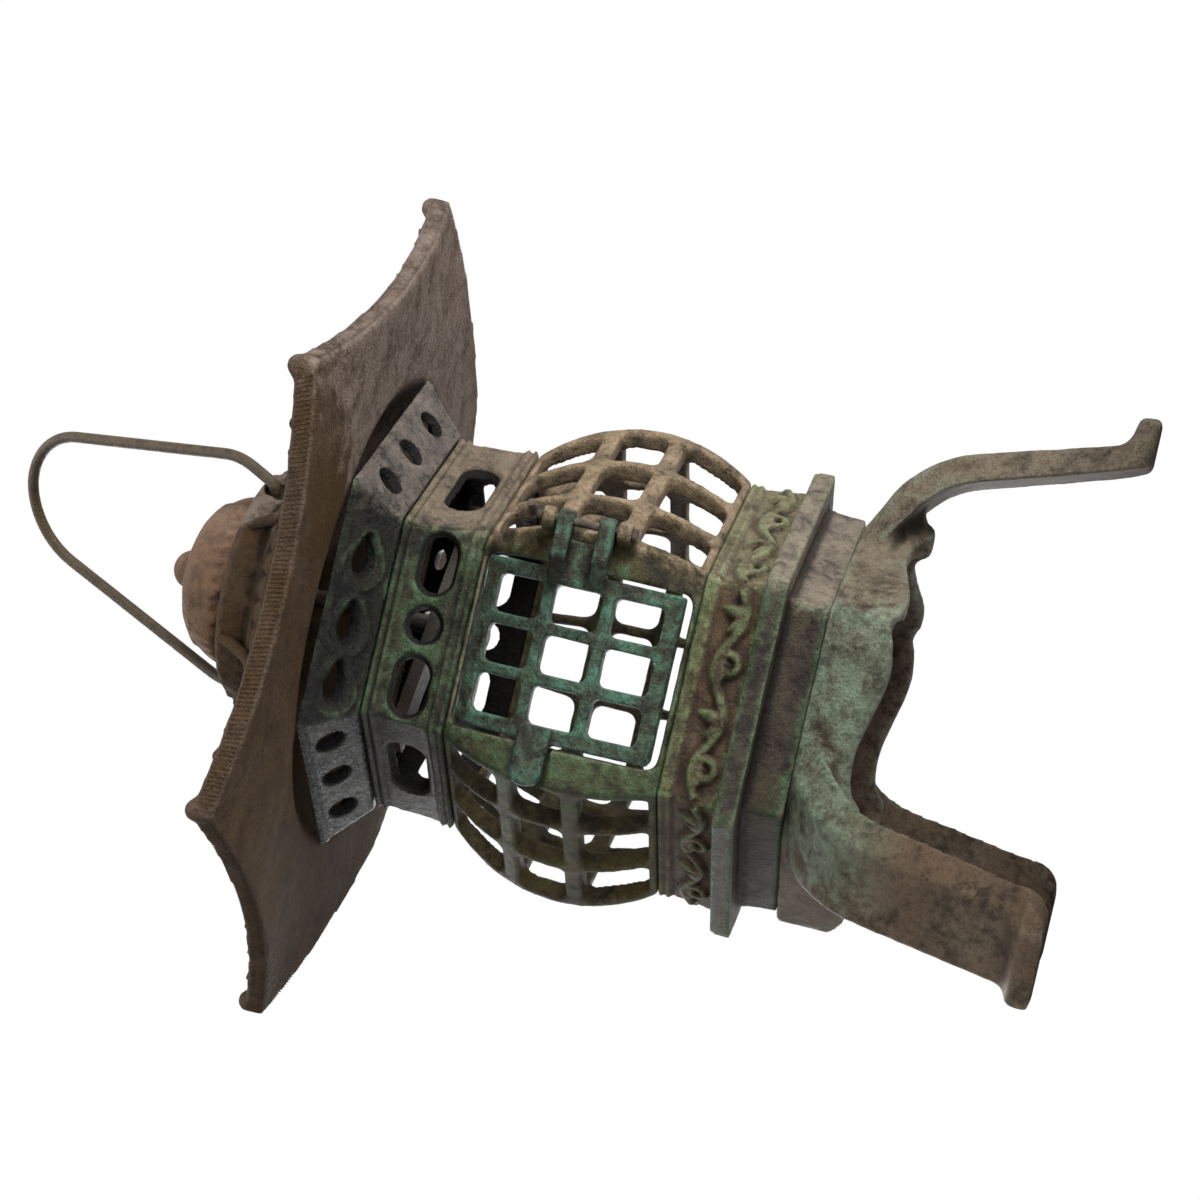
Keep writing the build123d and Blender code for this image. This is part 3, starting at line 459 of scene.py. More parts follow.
def tick_tree():
    """Fine upright ribs at an even pitch along a curve, then copied round the sides."""
    tree, given = geometry_tree("eave_ticks", Tick="object", Pitch="float", Copies="int",
                                Material="material")
    points = plug(tree, "GeometryNodeCurveToPoints",
                  {"Curve": given["Geometry"], "Length": given["Pitch"]}, mode="LENGTH")
    along = aligned(tree, "X", out(points, "Tangent"))
    upright = aligned(tree, "Z", (0.0, 0.0, 1.0), along, "X")
    ticks = copies_on(tree, out(points, "Points"), given["Tick"], upright)
    side = plug(tree, "GeometryNodeRealizeInstances", {"Geometry": ticks})
    return close_tree(tree, given, six_round(tree, side, given["Copies"]))


BEAD = bead_tree()
SKIN = skin_tree()
TILES = tile_tree()
SCALES = scale_tree()
TICKS = tick_tree()


# ---------------------------------------------------------------- finishes
RAGGED = 0.5                   # how uneven the border of a sector is, and how it fades
SECTOR_FADE = 0.07


class Finish:
    """Builds one material, from the colour of its ground to its grain."""

    def __init__(self, name):
        self.material = bpy.data.materials.new(name)
        self.material.use_nodes = True
        self.tree = self.material.node_tree
        self.tree.nodes.clear()
        self.place = out(plug(self.tree, "ShaderNodeTexCoord"), "Object")

    def noise(self, size, detail, roughness, bend=0.0, shift=0.0):
        """Noise with blotches of about this size, in metres."""
        moved = plug(self.tree, "ShaderNodeMapping",
                     {"Vector": self.place, "Location": (shift, shift, 0.7 * shift)})
        cloud = plug(self.tree, "ShaderNodeTexNoise",
                     {"Vector": moved, "Scale": 1.0 / size, "Detail": detail,
                      "Roughness": roughness, "Distortion": bend})
        return out(cloud, "Fac")

    def between(self, value, low, high):
        """0 below low, 1 above high."""
        return first_out(plug(self.tree, "ShaderNodeMapRange",
                              {"Value": value, "From Min": low, "From Max": high},
                              interpolation_type="SMOOTHSTEP"))

    def mix(self, share, below, above):
        """A share of one colour laid over another."""
        node = plug(self.tree, "ShaderNodeMix", data_type="RGBA")
        factor, first, second = node.inputs[0], node.inputs[6], node.inputs[7]
        for socket, value in ((factor, share), (first, below), (second, above)):
            if isinstance(value, bpy.types.NodeSocket):
                self.tree.links.new(value, socket)
            else:
                socket.default_value = (*value, 1.0)
        return node.outputs[2]

    def times(self, *values):
        result = values[0]
        for value in values[1:]:
            result = first_out(maths(self.tree, "MULTIPLY", result, value))
        return result

    def plus(self, *values):
        result = values[0]
        for value in values[1:]:
            result = first_out(maths(self.tree, "ADD", result, value))
        return result

    def blend(self, *parts):
        """Sum of (value, share) parts."""
        return self.plus(*[self.times(value, share) for value, share in parts])

    def edge(self):
        """How far the surface stands proud of what is round it."""
        return out(plug(self.tree, "ShaderNodeAttribute", attribute_name="edge"), "Fac")

    def hollow(self):
        """How deep in an opening the surface is."""
        return out(plug(self.tree, "ShaderNodeAttribute", attribute_name="hollow"), "Fac")

    def height(self, low, high):
        """0 below this height, 1 above the other."""
        split = plug(self.tree, "ShaderNodeSeparateXYZ", {"Vector": self.place})
        return self.between(out(split, "Z"), low, high)

    def facing(self, azimuth, half, ragged):
        """1 on the sector of the lantern within half of this azimuth, with a ragged border."""
        aim = (cos(radians(azimuth)), sin(radians(azimuth)), 0.0)
        flat = vector_maths(self.tree, "MULTIPLY", self.place, (1.0, 1.0, 0.0))
        unit = vector_maths(self.tree, "NORMALIZE", flat)
        dot = out(vector_maths(self.tree, "DOT_PRODUCT", unit, aim), "Value")
        uneven = self.plus(dot, self.times(ragged, RAGGED), -RAGGED / 2)
        rim = cos(radians(half))
        return self.between(uneven, rim - SECTOR_FADE, rim + SECTOR_FADE)

    def close(self, colour, roughness, grain, polish):
        """Joins colour, roughness and the bump heights (height, depth in metres)."""
        normal = None
        for height, depth in grain:
            links = {"Height": height, "Distance": depth, "Strength": 1.0}
            if normal:
                links["Normal"] = normal
            normal = first_out(plug(self.tree, "ShaderNodeBump", links))
        shader = plug(self.tree, "ShaderNodeBsdfPrincipled",
                      {"Base Color": colour, "Roughness": roughness, "Normal": normal,
                       "Specular IOR Level": polish})
        end = self.tree.nodes.new("ShaderNodeOutputMaterial")
        self.tree.links.new(first_out(shader), end.inputs["Surface"])
        return self.material


def shade(colour, share):
    """The colour, darkened to a share of itself."""
    return tuple(share * part for part in colour)


BLOTCH = 32 * MM               # sizes of the patterns in the iron's finish
PATCH = 9 * MM
SPECK = 2.6 * MM
GRAIN = 0.9 * MM
BUMP = 0.8 * MM                # how deep speck and grain stand in the light
HINGE_SIDE = (0, 59)           # azimuth and half width of a side's sector, in degrees
DOOR_SIDE = (-90, 36)
LATTICE_FRONT = (-97, 32)


def rusty_iron(name, dark, light, rust, dust_and_light, patina=None, green=0.0, door_green=0.0,
               high_green=0.16, green_over=None, hinge_dust_and_light=0.75, gloss=0.62, polish=0.15, shift=0.0,
               coarse=1.0, grainy=0.6, door_side=DOOR_SIDE, door_rust_and_shade=0.0, rough=1.0, wear_and_highlight=0.5,
               opening_shade=0.85):
    """Old painted cast iron.

    dark and light are the ground, and rust its brown patches; door_rust_and_shade is how much
    more of them the door side has, which darkens that side partly as painted shade.  dust is the
    pale colour of dirt on its edges, partly a painted highlight there, and, by dusty, of the
    hinge side, which lay uppermost and is lightened partly as painted light from the lamp's side.
    patina is the pair of greens, green how much is left all round, from 0 to 1, door_green how
    much more of it the door side has, and high_green how much more the raised parts have;
    green_over is the pair of heights it fades between.  gloss is the roughness of the ground and
    polish its shine, shift moves the patterns, coarse and grainy are the size and the darkness of
    the grain, and rough is its depth.  wear is how much pale dirt and painted highlight the edges
    show, and grime how dark the openings are inside, as painted shade.
    """
    coat = Finish(name)
    blotch = coat.noise(BLOTCH, 5.0, 0.62, 0.8, shift)
    patch = coat.noise(PATCH, 6.0, 0.68, 0.4, shift + 0.31)
    speck = coat.noise(SPECK, 5.0, 0.72, 0.0, shift + 0.52)
    grain = coat.noise(GRAIN * coarse, 3.0, 0.75, 0.0, shift + 0.77)
    edge = coat.edge()

    mottle = coat.blend((patch, 0.45), (speck, 0.35), (grain, 0.20))
    ground = coat.mix(coat.between(mottle, 0.38, 0.64), dark, light)
    rusty = coat.blend((blotch, 0.50), (patch, 0.30), (speck, 0.20))
    # More rust on the door side, which also darkens that side as painted shade.
    if door_rust_and_shade:
        rusty = coat.plus(rusty, coat.times(coat.facing(*door_side, patch), door_rust_and_shade))
    colour = coat.mix(coat.times(coat.between(rusty, 0.45, 0.60), 0.85), ground, rust)

    if patina:
        front = coat.times(coat.facing(*door_side, patch), door_green)
        spread = coat.blend((patch, 0.55), (blotch, 0.50), (speck, 0.25), (grain, 0.15),
                            (edge, high_green))
        veil = coat.between(coat.plus(spread, front, green - 1.12), -0.13, 0.19)
        if green_over:
            veil = coat.times(veil, coat.height(*green_over))
        fine = coat.blend((patch, 0.3), (speck, 0.4), (grain, 0.3))
        tint = coat.mix(coat.between(fine, 0.40, 0.62), *patina)
        colour = coat.mix(coat.times(veil, 0.9), colour, tint)

    # Pale dust on the hinge side, partly painted light: that side is lightened as if lit from the
    # lamp's side.
    dust_and_lit_side = coat.times(coat.facing(*HINGE_SIDE, patch), coat.between(mottle, 0.34, 0.60), hinge_dust_and_light)
    colour = coat.mix(dust_and_lit_side, colour, dust_and_light)
    # Pale dirt on raised edges, partly a painted highlight where the edges catch the light.
    rubbed_and_highlit = coat.between(coat.plus(edge, coat.times(speck, 1.2)), 1.25, 2.3)
    colour = coat.mix(coat.times(rubbed_and_highlit, wear_and_highlight), colour, dust_and_light)
    # Painted shade in sunk creases and grooves, darkening them as if little light reached there.
    crevice_shade = coat.between(coat.blend((edge, -1.0), (speck, 0.5)), 0.36, 0.95)
    colour = coat.mix(coat.times(crevice_shade, 0.85), colour, shade(dark, 0.25))
    # Painted shade inside narrow openings and in recesses under the outer faces.
    inside = coat.between(coat.plus(coat.hollow(), coat.times(speck, 0.3)), 0.22, 0.62)
    colour = coat.mix(coat.times(inside, opening_shade), colour, shade(dark, 0.35))
    grains = coat.times(coat.between(grain, 0.48, 0.68), grainy)
    colour = coat.mix(grains, colour, shade(dark, 0.4))
    dullness = coat.plus(coat.blend((speck, 0.7), (dust_and_lit_side, 0.25)), gloss - 0.35)
    bumps = [(speck, BUMP * rough), (grain, BUMP * coarse * rough)]
    return coat.close(colour, dullness, bumps, polish)


GREENS = ((0.018, 0.034, 0.014), (0.075, 0.130, 0.068))
TEALS = ((0.008, 0.026, 0.016), (0.080, 0.215, 0.150))
GREY_GREENS = ((0.050, 0.072, 0.048), (0.205, 0.270, 0.190))
OLIVE_GREENS = ((0.040, 0.052, 0.020), (0.150, 0.190, 0.090))

ROOF_IRON = rusty_iron(
    "roof_rust", dark=(0.032, 0.019, 0.010), light=(0.095, 0.062, 0.040),
    rust=(0.050, 0.027, 0.009), dust_and_light=(0.200, 0.158, 0.134), hinge_dust_and_light=0.85, gloss=0.78,
    polish=0.08, shift=0.10, coarse=1.2, grainy=0.45, door_rust_and_shade=0.02, rough=1.3, wear_and_highlight=0.2)
FINIAL_IRON = rusty_iron(
    "finial_rust", dark=(0.062, 0.035, 0.021), light=(0.185, 0.118, 0.078),
    rust=(0.120, 0.063, 0.032), dust_and_light=(0.20, 0.14, 0.10), hinge_dust_and_light=0.35, gloss=0.66,
    polish=0.10, shift=0.90, grainy=0.4, wear_and_highlight=0.3)
LATTICE_IRON = rusty_iron(
    "lattice_patina", dark=(0.012, 0.010, 0.006), light=(0.082, 0.066, 0.036),
    rust=(0.068, 0.050, 0.013), dust_and_light=(0.275, 0.200, 0.130), patina=GREENS, green=0.20,
    door_green=0.20, high_green=0.10, hinge_dust_and_light=0.80, gloss=0.52, polish=0.14, shift=0.20,
    door_side=LATTICE_FRONT)
DOOR_IRON = rusty_iron(
    "door_patina", dark=(0.008, 0.007, 0.005), light=(0.050, 0.042, 0.024),
    rust=(0.048, 0.036, 0.010), dust_and_light=(0.060, 0.10, 0.070), patina=TEALS, green=0.30,
    door_green=0.06, high_green=0.12, hinge_dust_and_light=0.15, gloss=0.36, polish=0.20, shift=0.47,
    door_side=LATTICE_FRONT, rough=1.2)
NECK_IRON = rusty_iron(
    "neck_patina", dark=(0.007, 0.006, 0.005), light=(0.045, 0.038, 0.028),
    rust=(0.036, 0.027, 0.010), dust_and_light=(0.19, 0.148, 0.104), patina=GREENS, green=0.16,
    door_green=0.20, high_green=0.20, hinge_dust_and_light=0.85, gloss=0.36, polish=0.15, shift=0.61,
    rough=1.3, opening_shade=0.95)
COLLAR_IRON = rusty_iron(
    "collar_black", dark=(0.0025, 0.0025, 0.002), light=(0.016, 0.015, 0.011),
    rust=(0.012, 0.011, 0.005), dust_and_light=(0.165, 0.132, 0.110), patina=GREENS, green=0.12,
    door_green=0.06, high_green=0.30, hinge_dust_and_light=0.85, gloss=0.26, polish=0.20, shift=0.73,
    rough=1.5, wear_and_highlight=0.25, opening_shade=0.95)
BAND_IRON = rusty_iron(
    "ornament_patina", dark=(0.022, 0.014, 0.008), light=(0.115, 0.078, 0.050),
    rust=(0.085, 0.052, 0.026), dust_and_light=(0.27, 0.27, 0.165), patina=OLIVE_GREENS, green=0.22,
    door_green=0.08, high_green=0.50, hinge_dust_and_light=0.35, gloss=0.50, polish=0.14, shift=0.35)
TRAY_IRON = rusty_iron(
    "tray_patina", dark=(0.014, 0.010, 0.008), light=(0.080, 0.062, 0.048),
    rust=(0.050, 0.038, 0.020), dust_and_light=(0.22, 0.182, 0.140), patina=GREENS, green=0.16,
    door_green=0.06, high_green=0.40, hinge_dust_and_light=0.85, gloss=0.48, polish=0.16, shift=0.83)
STAND_IRON = rusty_iron(
    "stand_patina", dark=(0.026, 0.017, 0.010), light=(0.190, 0.142, 0.098),
    rust=(0.110, 0.070, 0.042), dust_and_light=(0.30, 0.275, 0.210), patina=GREY_GREENS, green=0.26,
    door_green=0.20, high_green=0.12, green_over=(0.040, 0.072), hinge_dust_and_light=0.30, gloss=0.52,
    polish=0.14, shift=0.55, rough=1.3, wear_and_highlight=0.3)
WIRE_IRON = rusty_iron(
    "wire_brown", dark=(0.022, 0.014, 0.007), light=(0.058, 0.040, 0.020),
    rust=(0.050, 0.032, 0.013), dust_and_light=(0.09, 0.070, 0.046), hinge_dust_and_light=0.25, gloss=0.42,
    polish=0.2, shift=0.15, grainy=0.15, rough=0.5)
PIN_STEEL = rusty_iron(
    "pin_rust", dark=(0.018, 0.012, 0.009), light=(0.058, 0.042, 0.028),
    rust=(0.050, 0.028, 0.016), dust_and_light=(0.13, 0.105, 0.08), gloss=0.42, polish=0.3,
    shift=0.95, coarse=0.7)
HIDDEN_STEEL = rusty_iron(
    "fastening_steel", dark=(0.022, 0.018, 0.015), light=(0.070, 0.058, 0.048),
    rust=(0.060, 0.034, 0.020), dust_and_light=(0.15, 0.13, 0.11), gloss=0.50, polish=0.3,
    shift=0.05, coarse=0.7)
CUP_STEEL = rusty_iron(
    "cup_steel", dark=(0.030, 0.025, 0.021), light=(0.095, 0.078, 0.062),
    rust=(0.070, 0.042, 0.024), dust_and_light=(0.18, 0.15, 0.12), gloss=0.45, polish=0.3,
    shift=0.25, coarse=0.7)


# ---------------------------------------------------------------- shapes
def merged(node):
    """Copy of a CAD node's mesh with its loose triangles joined."""
    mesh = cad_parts[node].data.copy()
    work = bmesh.new()
    work.from_mesh(mesh)
    bmesh.ops.remove_doubles(work, verts=work.verts, dist=1e-6)
    work.to_mesh(mesh)
    work.free()
    return mesh


def surface(node):
    """Finds where a line from outside meets a CAD node, and the face's direction there."""
    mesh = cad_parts[node].data
    tree = BVHTree.FromPolygons([v.co for v in mesh.vertices],
                                [p.vertices for p in mesh.polygons])

    def meet(start, aim):
        spot, normal, _, _ = tree.ray_cast(Vector(start), Vector(aim).normalized())
        return spot, normal

    return meet


def curve_piece(name, lines, cyclic=False, smooth=True):
    """Curves through (point, taper) lists."""
    data = bpy.data.curves.new(name, "CURVE")
    data.dimensions = "3D"
    data.resolution_u = 3
    for line in lines:
        spline = data.splines.new("NURBS" if smooth else "POLY")
        spline.points.add(len(line) - 1)
        for knot, (spot, taper) in zip(spline.points, line):
            knot.co = (*spot, 1.0)
            knot.radius = taper
        spline.use_cyclic_u = cyclic
        if smooth:
            spline.order_u = 3
            spline.use_endpoint_u = not cyclic
    return placed(name, data)


def beads(name, lines, radius, material, copies=SIDES, cyclic=False, smooth=True):
    """Beads along curves drawn on the door side, copied round the sides."""
    piece = curve_piece(name, lines, cyclic, smooth)
    run_tree(piece, BEAD, Bead=radius, Copies=copies, Material=material)
    return settle(piece, name)


def empty_piece(name):
    return placed(name, bpy.data.meshes.new(name))


def voxels(piece, size):
    """Draws the piece again as one closed skin of squares of this size."""
    step = piece.modifiers.new("voxels", "REMESH")
    step.mode = "VOXEL"
    step.voxel_size = size
    step.use_smooth_shade = True


def swell(piece, amount):
    """Moves the whole surface outwards, or inwards where the amount is negative."""
    step = piece.modifiers.new("swell", "DISPLACE")
    step.direction = "NORMAL"
    step.mid_level = 0.0
    step.strength = amount


def keep_inside(piece):
    """No point of the sand-cast skin goes past the lantern's own extents."""
    low, high = cad_box
    for knot in piece.data.vertices:
        for k in range(3):
            knot.co[k] = min(max(knot.co[k], low[k]), high[k])


def casting(name, node, material, body, voxel, softness, dent, spread, seed, extras=(),
            fillet=0.0, form=None):
    """A CAD node as a sand casting, with any relief pieces cast into it.

    voxel is how fine its skin is, softness how far its edges are rounded, and dent and spread are
    how deep and how close its dents are.  fillet is the radius of the metal in its inner corners,
    and form is drawn in place of the node's own shape.
    """
    mesh = merged(node)
    work = bmesh.new()
    if form:
        work.from_mesh(form.data)
        bpy.data.objects.remove(form)
    else:
        work.from_mesh(mesh)
    for extra in extras:
        work.from_mesh(extra.data)
        bpy.data.objects.remove(extra)
    work.to_mesh(mesh)
    work.free()
    piece = placed(name + "_rough", mesh)
    mesh.materials.clear()
    voxels(piece, voxel)
    if fillet:
        swell(piece, fillet)
        voxels(piece, voxel)
        swell(piece, -fillet)
        voxels(piece, voxel)
    run_tree(piece, SKIN, Softness=softness, Dent=dent, Spread=spread, Seed=seed,
             Material=material)
    cast = settle(piece, name)
    keep_inside(cast)
    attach(cast, body)
    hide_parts(node)
    return cast


def shade_inside(piece, foot_r, top_r):
    """Marks what lies under a six-sided casting's outer face as hollow, for painted shade there.

    foot_r and top_r are the radii of its corners at its foot and at its top.
    """
    heights = [knot.co.z for knot in piece.data.vertices]
    low, high = min(heights), max(heights)
    for knot, mark in zip(piece.data.vertices, piece.data.attributes["hollow"].data):
        x, y, z = knot.co
        side = (round(atan2(y, x) / TURN + 0.5) - 0.5) * TURN
        out_at = x * cos(side) + y * sin(side)
        face = (foot_r + (top_r - foot_r) * (z - low) / (high - low)) * FLAT
        depth = (face - out_at - SHADE_FROM) / SHADE_FADE
        mark.value = max(mark.value, min(max(depth, 0.0), 1.0))


def coat_node(node, material):
    """A CAD node that keeps its own shape gets its finish."""
    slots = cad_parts[node].data.materials
    slots.clear()
    slots.append(material)


# ---------------------------------------------------------------- ornament band
def vine_stem(spot, side, middle):
    """The waving stem, along the whole side."""
    stem = []
    steps = 10 * WAVES
    for i in range(steps + 1):
        u = -side / 2 + side * i / steps
        z = middle + VINE_SWING * sin(2 * pi * u / (side / WAVES))
        stem.append((spot(u, z, STEM_PROUD), STEM_SHARE))
    return stem


def vine_curl(spot, crest, middle):
    """A curl that winds in to its eye, from the stem's upper bend."""
    curl = []
    steps = 16
    for i in range(steps + 1):
        run = i / steps
        angle = CURL_FROM - run * CURL_WIND
        reach = VINE_CURL * (1.0 - CURL_NARROWING * run)
        u = crest + CURL_SHIFT + reach * cos(angle)
        z = middle - CURL_SHIFT + reach * sin(angle)
        curl.append((spot(u, z, CURL_PROUD), CURL_SHARE))
    return curl


def vine_leaf(spot, trough, middle, lean, length, plump):
    """A leaf that grows up from the stem's lower bend."""
    leaf = []
    steps = 5
    for i in range(steps + 1):
        run = i / steps
        u = trough + (sin(lean) * length * run + LEAF_SWAY * sin(pi * run) * lean) * MM
        z = middle - LEAF_DROP + cos(lean) * length * run * MM
        width = LEAF_FOOT + LEAF_BELLY * plump * sin(pi * min(run + 0.10, 1.0))
        leaf.append((spot(u, z, LEAF_PROUD), width))
    return leaf


def ornament():
    """Vine scroll: a waving stem with a curl at one bend and leaves at the other."""
    low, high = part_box("scroll_band")
    middle = low.z + SCROLL_H / 2
    side = (high.x - low.x) / 2
    wave = side / WAVES
    meet = surface("scroll_band")

    def spot(u, z, proud):
        lowest, highest = low.z + SCROLL_FOOT_MARGIN, low.z + SCROLL_H - SCROLL_TOP_MARGIN
        start = (SCROLL_FILL * u, -BEFORE_BAND, min(max(z, lowest), highest))
        face, normal = meet(start, (0, 1, 0))
        return face + proud * normal

    lines = [vine_stem(spot, side, middle)]
    for w in range(WAVES):
        crest = -side / 2 + (w + 0.25) * wave
        lines.append(vine_curl(spot, crest, middle))
        for lean, length, plump in LEAVES:
            lines.append(vine_leaf(spot, crest + 0.5 * wave, middle, lean, length, plump))
    return beads("vine", lines, VINE_STEM, BAND_IRON)


# ---------------------------------------------------------------- collar
def collar_face(z):
    """Y of the collar's door side at height z."""
    low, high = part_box("crown_collar")
    share = (z - low.z) / (high.z - low.z)
    return -(COLLAR_FOOT_R + (high.x - COLLAR_FOOT_R) * share) * FLAT


def drop_outline():
    """A drop lying along the side: round behind, and narrowed to a small round tip."""
    leave = acos((DROP_R - DROP_TIP_R) / DROP_LENGTH)
    outline = []
    for i in range(15):
        angle = leave + (2 * pi - 2 * leave) * i / 14
        outline.append((DROP_R * cos(angle), DROP_R * sin(angle)))
    for i in range(5):
        angle = leave * (i / 2 - 1)
        outline.append((DROP_LENGTH + DROP_TIP_R * cos(angle), DROP_TIP_R * sin(angle)))
    return outline


def drop_rims():
    """Raised rims of the pierced drops on the collar's door side, which point to the hinge."""
    low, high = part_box("crown_collar")
    middle = (low.z + high.z) / 2
    lean = atan2((high.x - COLLAR_FOOT_R) * FLAT, high.z - low.z)
    lines = []
    for place in DROPS_AT:
        rim = []
        for along, across in drop_outline():
            z = middle + across * cos(lean)
            z = min(max(z, low.z + DROP_MARGIN), high.z - DROP_MARGIN)
            rim.append((Vector((place + along, collar_face(z), z)), 1.0))
        lines.append(rim)
    return beads("drop_rim", lines, RIM_BEAD, COLLAR_IRON, copies=1, cyclic=True)


def collar_lip():
    """Round lip a groove's width below the collar's top edge."""
    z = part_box("crown_collar")[1].z - LIP_DROP
    y = collar_face(z)
    half = -y * HALF_SIDE
    line = [((-half, y, z), 1.0), ((half, y, z), 1.0)]
    return beads("lip", [line], LIP_BEAD, COLLAR_IRON, smooth=False)


# ---------------------------------------------------------------- roof
def tongue(name, width, length, thick, bend=0.0):
    """One scale tile: a domed tongue, thicker at its rounded lower end, lying along -Y.

    bend is the radius of the form that it lies down on, where that is round.
    """
    columns, rows = 4, 5
    work = bmesh.new()
    skins = []
    for upper in (False, True):
        grid = []
        for j in range(rows + 1):
            run = j / rows
            blunt = max(run - BLUNT_FROM, 0) / (1 - BLUNT_FROM)
            half = width / 2 * (1 - BLUNT_SHARE * blunt**BLUNT_CURVE)
            stand = thick * (HEAD_SHARE + (1 - HEAD_SHARE) * run)
            drop = (run * length) ** 2 / (2 * bend) if bend else 0.0
            line = []
            for i in range(columns + 1):
                across = 2 * i / columns - 1
                dome = stand * (1 - TILE_DOME * across * across)
                level = dome if upper else -ROOT_DEPTH
                line.append(work.verts.new((half * across, -run * length, level - drop)))
            grid.append(line)
        for j in range(rows):
            for i in range(columns):
                ring = [grid[j][i], grid[j][i + 1], grid[j + 1][i + 1], grid[j + 1][i]]
                work.faces.new(ring[::-1] if upper else ring)
        skins.append(grid)
    root, top = skins
    for i in range(columns):
        work.faces.new((root[0][i + 1], root[0][i], top[0][i], top[0][i + 1]))
        work.faces.new((root[-1][i], root[-1][i + 1], top[-1][i + 1], top[-1][i]))
    for j in range(rows):
        work.faces.new((root[j][0], root[j + 1][0], top[j + 1][0], top[j][0]))
        work.faces.new((root[j + 1][-1], root[j][-1], top[j][-1], top[j + 1][-1]))
    bmesh.ops.recalc_face_normals(work, faces=work.faces)
    for face in work.faces:
        face.smooth = True
    piece = drawn(name, work)
    # Edge marks painted onto each tile: its lower end counts as proud, so it turns pale as dust
    # and painted highlight, and its upper end and sides as sunk, so they get painted shade as in
    # the grooves between tiles.
    edge = piece.data.attributes.new("edge", "FLOAT", "POINT")
    for knot, mark in zip(piece.data.vertices, edge.data):
        run = -knot.co.y / length
        rim = abs(knot.co.x) / (width / 2)
        mark.value = 1.1 * run**3 - 1.2 * rim**4 * (1 - run) - 0.5 * (1 - run) ** 2
    return piece


def roof_tiles(tile):
    """Rows of tiles on the six panels, from the eaves up to the crown."""
    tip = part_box("roof")[1].x
    piece = empty_piece("roof_tiles")
    run_tree(piece, TILES, Roof=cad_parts["roof"], Tile=tile, Across=TILE_W, Row=TILE_ROW,
             Eave=tip * FLAT - EAVE_BOW - TILE_L - TILE_RIM, Bow=EAVE_BOW,
             Crown=CROWN_R + TILE_CROWN_GAP, Hip=TILE_HIP_GAP, Copies=SIDES, Seed=4,
             Material=ROOF_IRON)
    return settle(piece, "roof_tiles")


def hip_rolls():
    """Round rolls down the six hips, from the crown to the tips."""
    meet = surface("roof")
    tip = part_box("roof")[1].x - HIP_END
    line = []
    steps = 12
    for i in range(steps + 1):
        reach = CROWN_R + (tip - CROWN_R) * i / steps
        spot, _ = meet((reach, 0, OVER_ROOF), (0, 0, -1))
        line.append((spot, 1.0 - HIP_TAPER * i / steps))
    return beads("hip_rolls", [line], HIP_ROLL, ROOF_IRON)


def tick_shape():
    """Half-round rib, upright, a little narrower at its ends."""
    work = bmesh.new()
    rings = []
    for level, share in TICK_RINGS:
        ring = []
        for i in range(TICK_FACETS):
            angle = 2 * pi * i / TICK_FACETS
            ring.append(work.verts.new((
                TICK_W / 2 * share * cos(angle) - TICK_SLANT * level * EAVE_T,
                TICK_OUT * share * sin(angle),
                level * EAVE_T)))
        rings.append(ring)
    for low, high in zip(rings, rings[1:]):
        for i in range(TICK_FACETS):
            j = (i + 1) % TICK_FACETS
            work.faces.new((low[i], low[j], high[j], high[i]))
    work.faces.new(rings[0][::-1])
    work.faces.new(rings[-1])
    return drawn("tick", work)


def eave_ticks():
    """Ribs on the middle of each eave's band."""
    meet = surface("roof")
    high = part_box("roof")[1]
    half = high.x * sin(TURN / 2)
    middle = high.z - EAVE_DROP + EAVE_T / 2
    line = []
    steps = 12
    for i in range(steps + 1):
        share = -TICK_SPAN + 2 * TICK_SPAN * i / steps
        z = middle + TIP_RISE * abs(share) ** TIP_CURVE
        spot, _ = meet((share * half, -BEFORE_EAVE, z), (0, 1, 0))
        line.append((spot, 1.0))
    piece = curve_piece("eave_ticks", [line])
    tick = tick_shape()
    run_tree(piece, TICKS, Tick=tick, Pitch=TICK_PITCH, Copies=SIDES, Material=ROOF_IRON)
    ribs = settle(piece, "eave_ticks")
    bpy.data.objects.remove(tick)
    return ribs


def scale_rings(name, form, shape, rows, count, low, rise, seed, material):
    """Rings of scales on a round form, the lowest at low and each next one a rise higher."""
    piece = empty_piece(name)
    run_tree(piece, SCALES, Form=form, Scale=shape, Rows=rows, Count=count, Low=low,
             Rise=rise, Seed=seed, Material=material)
    return settle(piece, name)


def bulb():
    """The finial's full dome, solid down to the crown, and the round button on top of it."""
    low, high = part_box("finial")
    work = bmesh.new()
    bmesh.ops.create_uvsphere(work, u_segments=28, v_segments=14, radius=KNOB_R)
    bmesh.ops.translate(work, verts=work.verts, vec=(0, 0, high.z - KNOB_R))
    sides, levels = 72, 16
    rings = []
    for i in range(levels):
        climb = i / levels
        width = DOME_R * (1 - climb**DOME_SHOULDER) ** (1 / DOME_FULLNESS)
        ring = []
        for j in range(sides):
            angle = 2 * pi * j / sides
            ring.append(work.verts.new((width * cos(angle), width * sin(angle),
                                        low.z + DOME_H * climb)))
        rings.append(ring)
    top = work.verts.new((0, 0, low.z + DOME_H))
    for near, far in zip(rings, rings[1:]):
        for j in range(sides):
            k = (j + 1) % sides
            work.faces.new((near[j], near[k], far[k], far[j]))
    for j in range(sides):
        work.faces.new((rings[-1][j], rings[-1][(j + 1) % sides], top))
    work.faces.new(rings[0][::-1])
    return drawn("bulb", work)


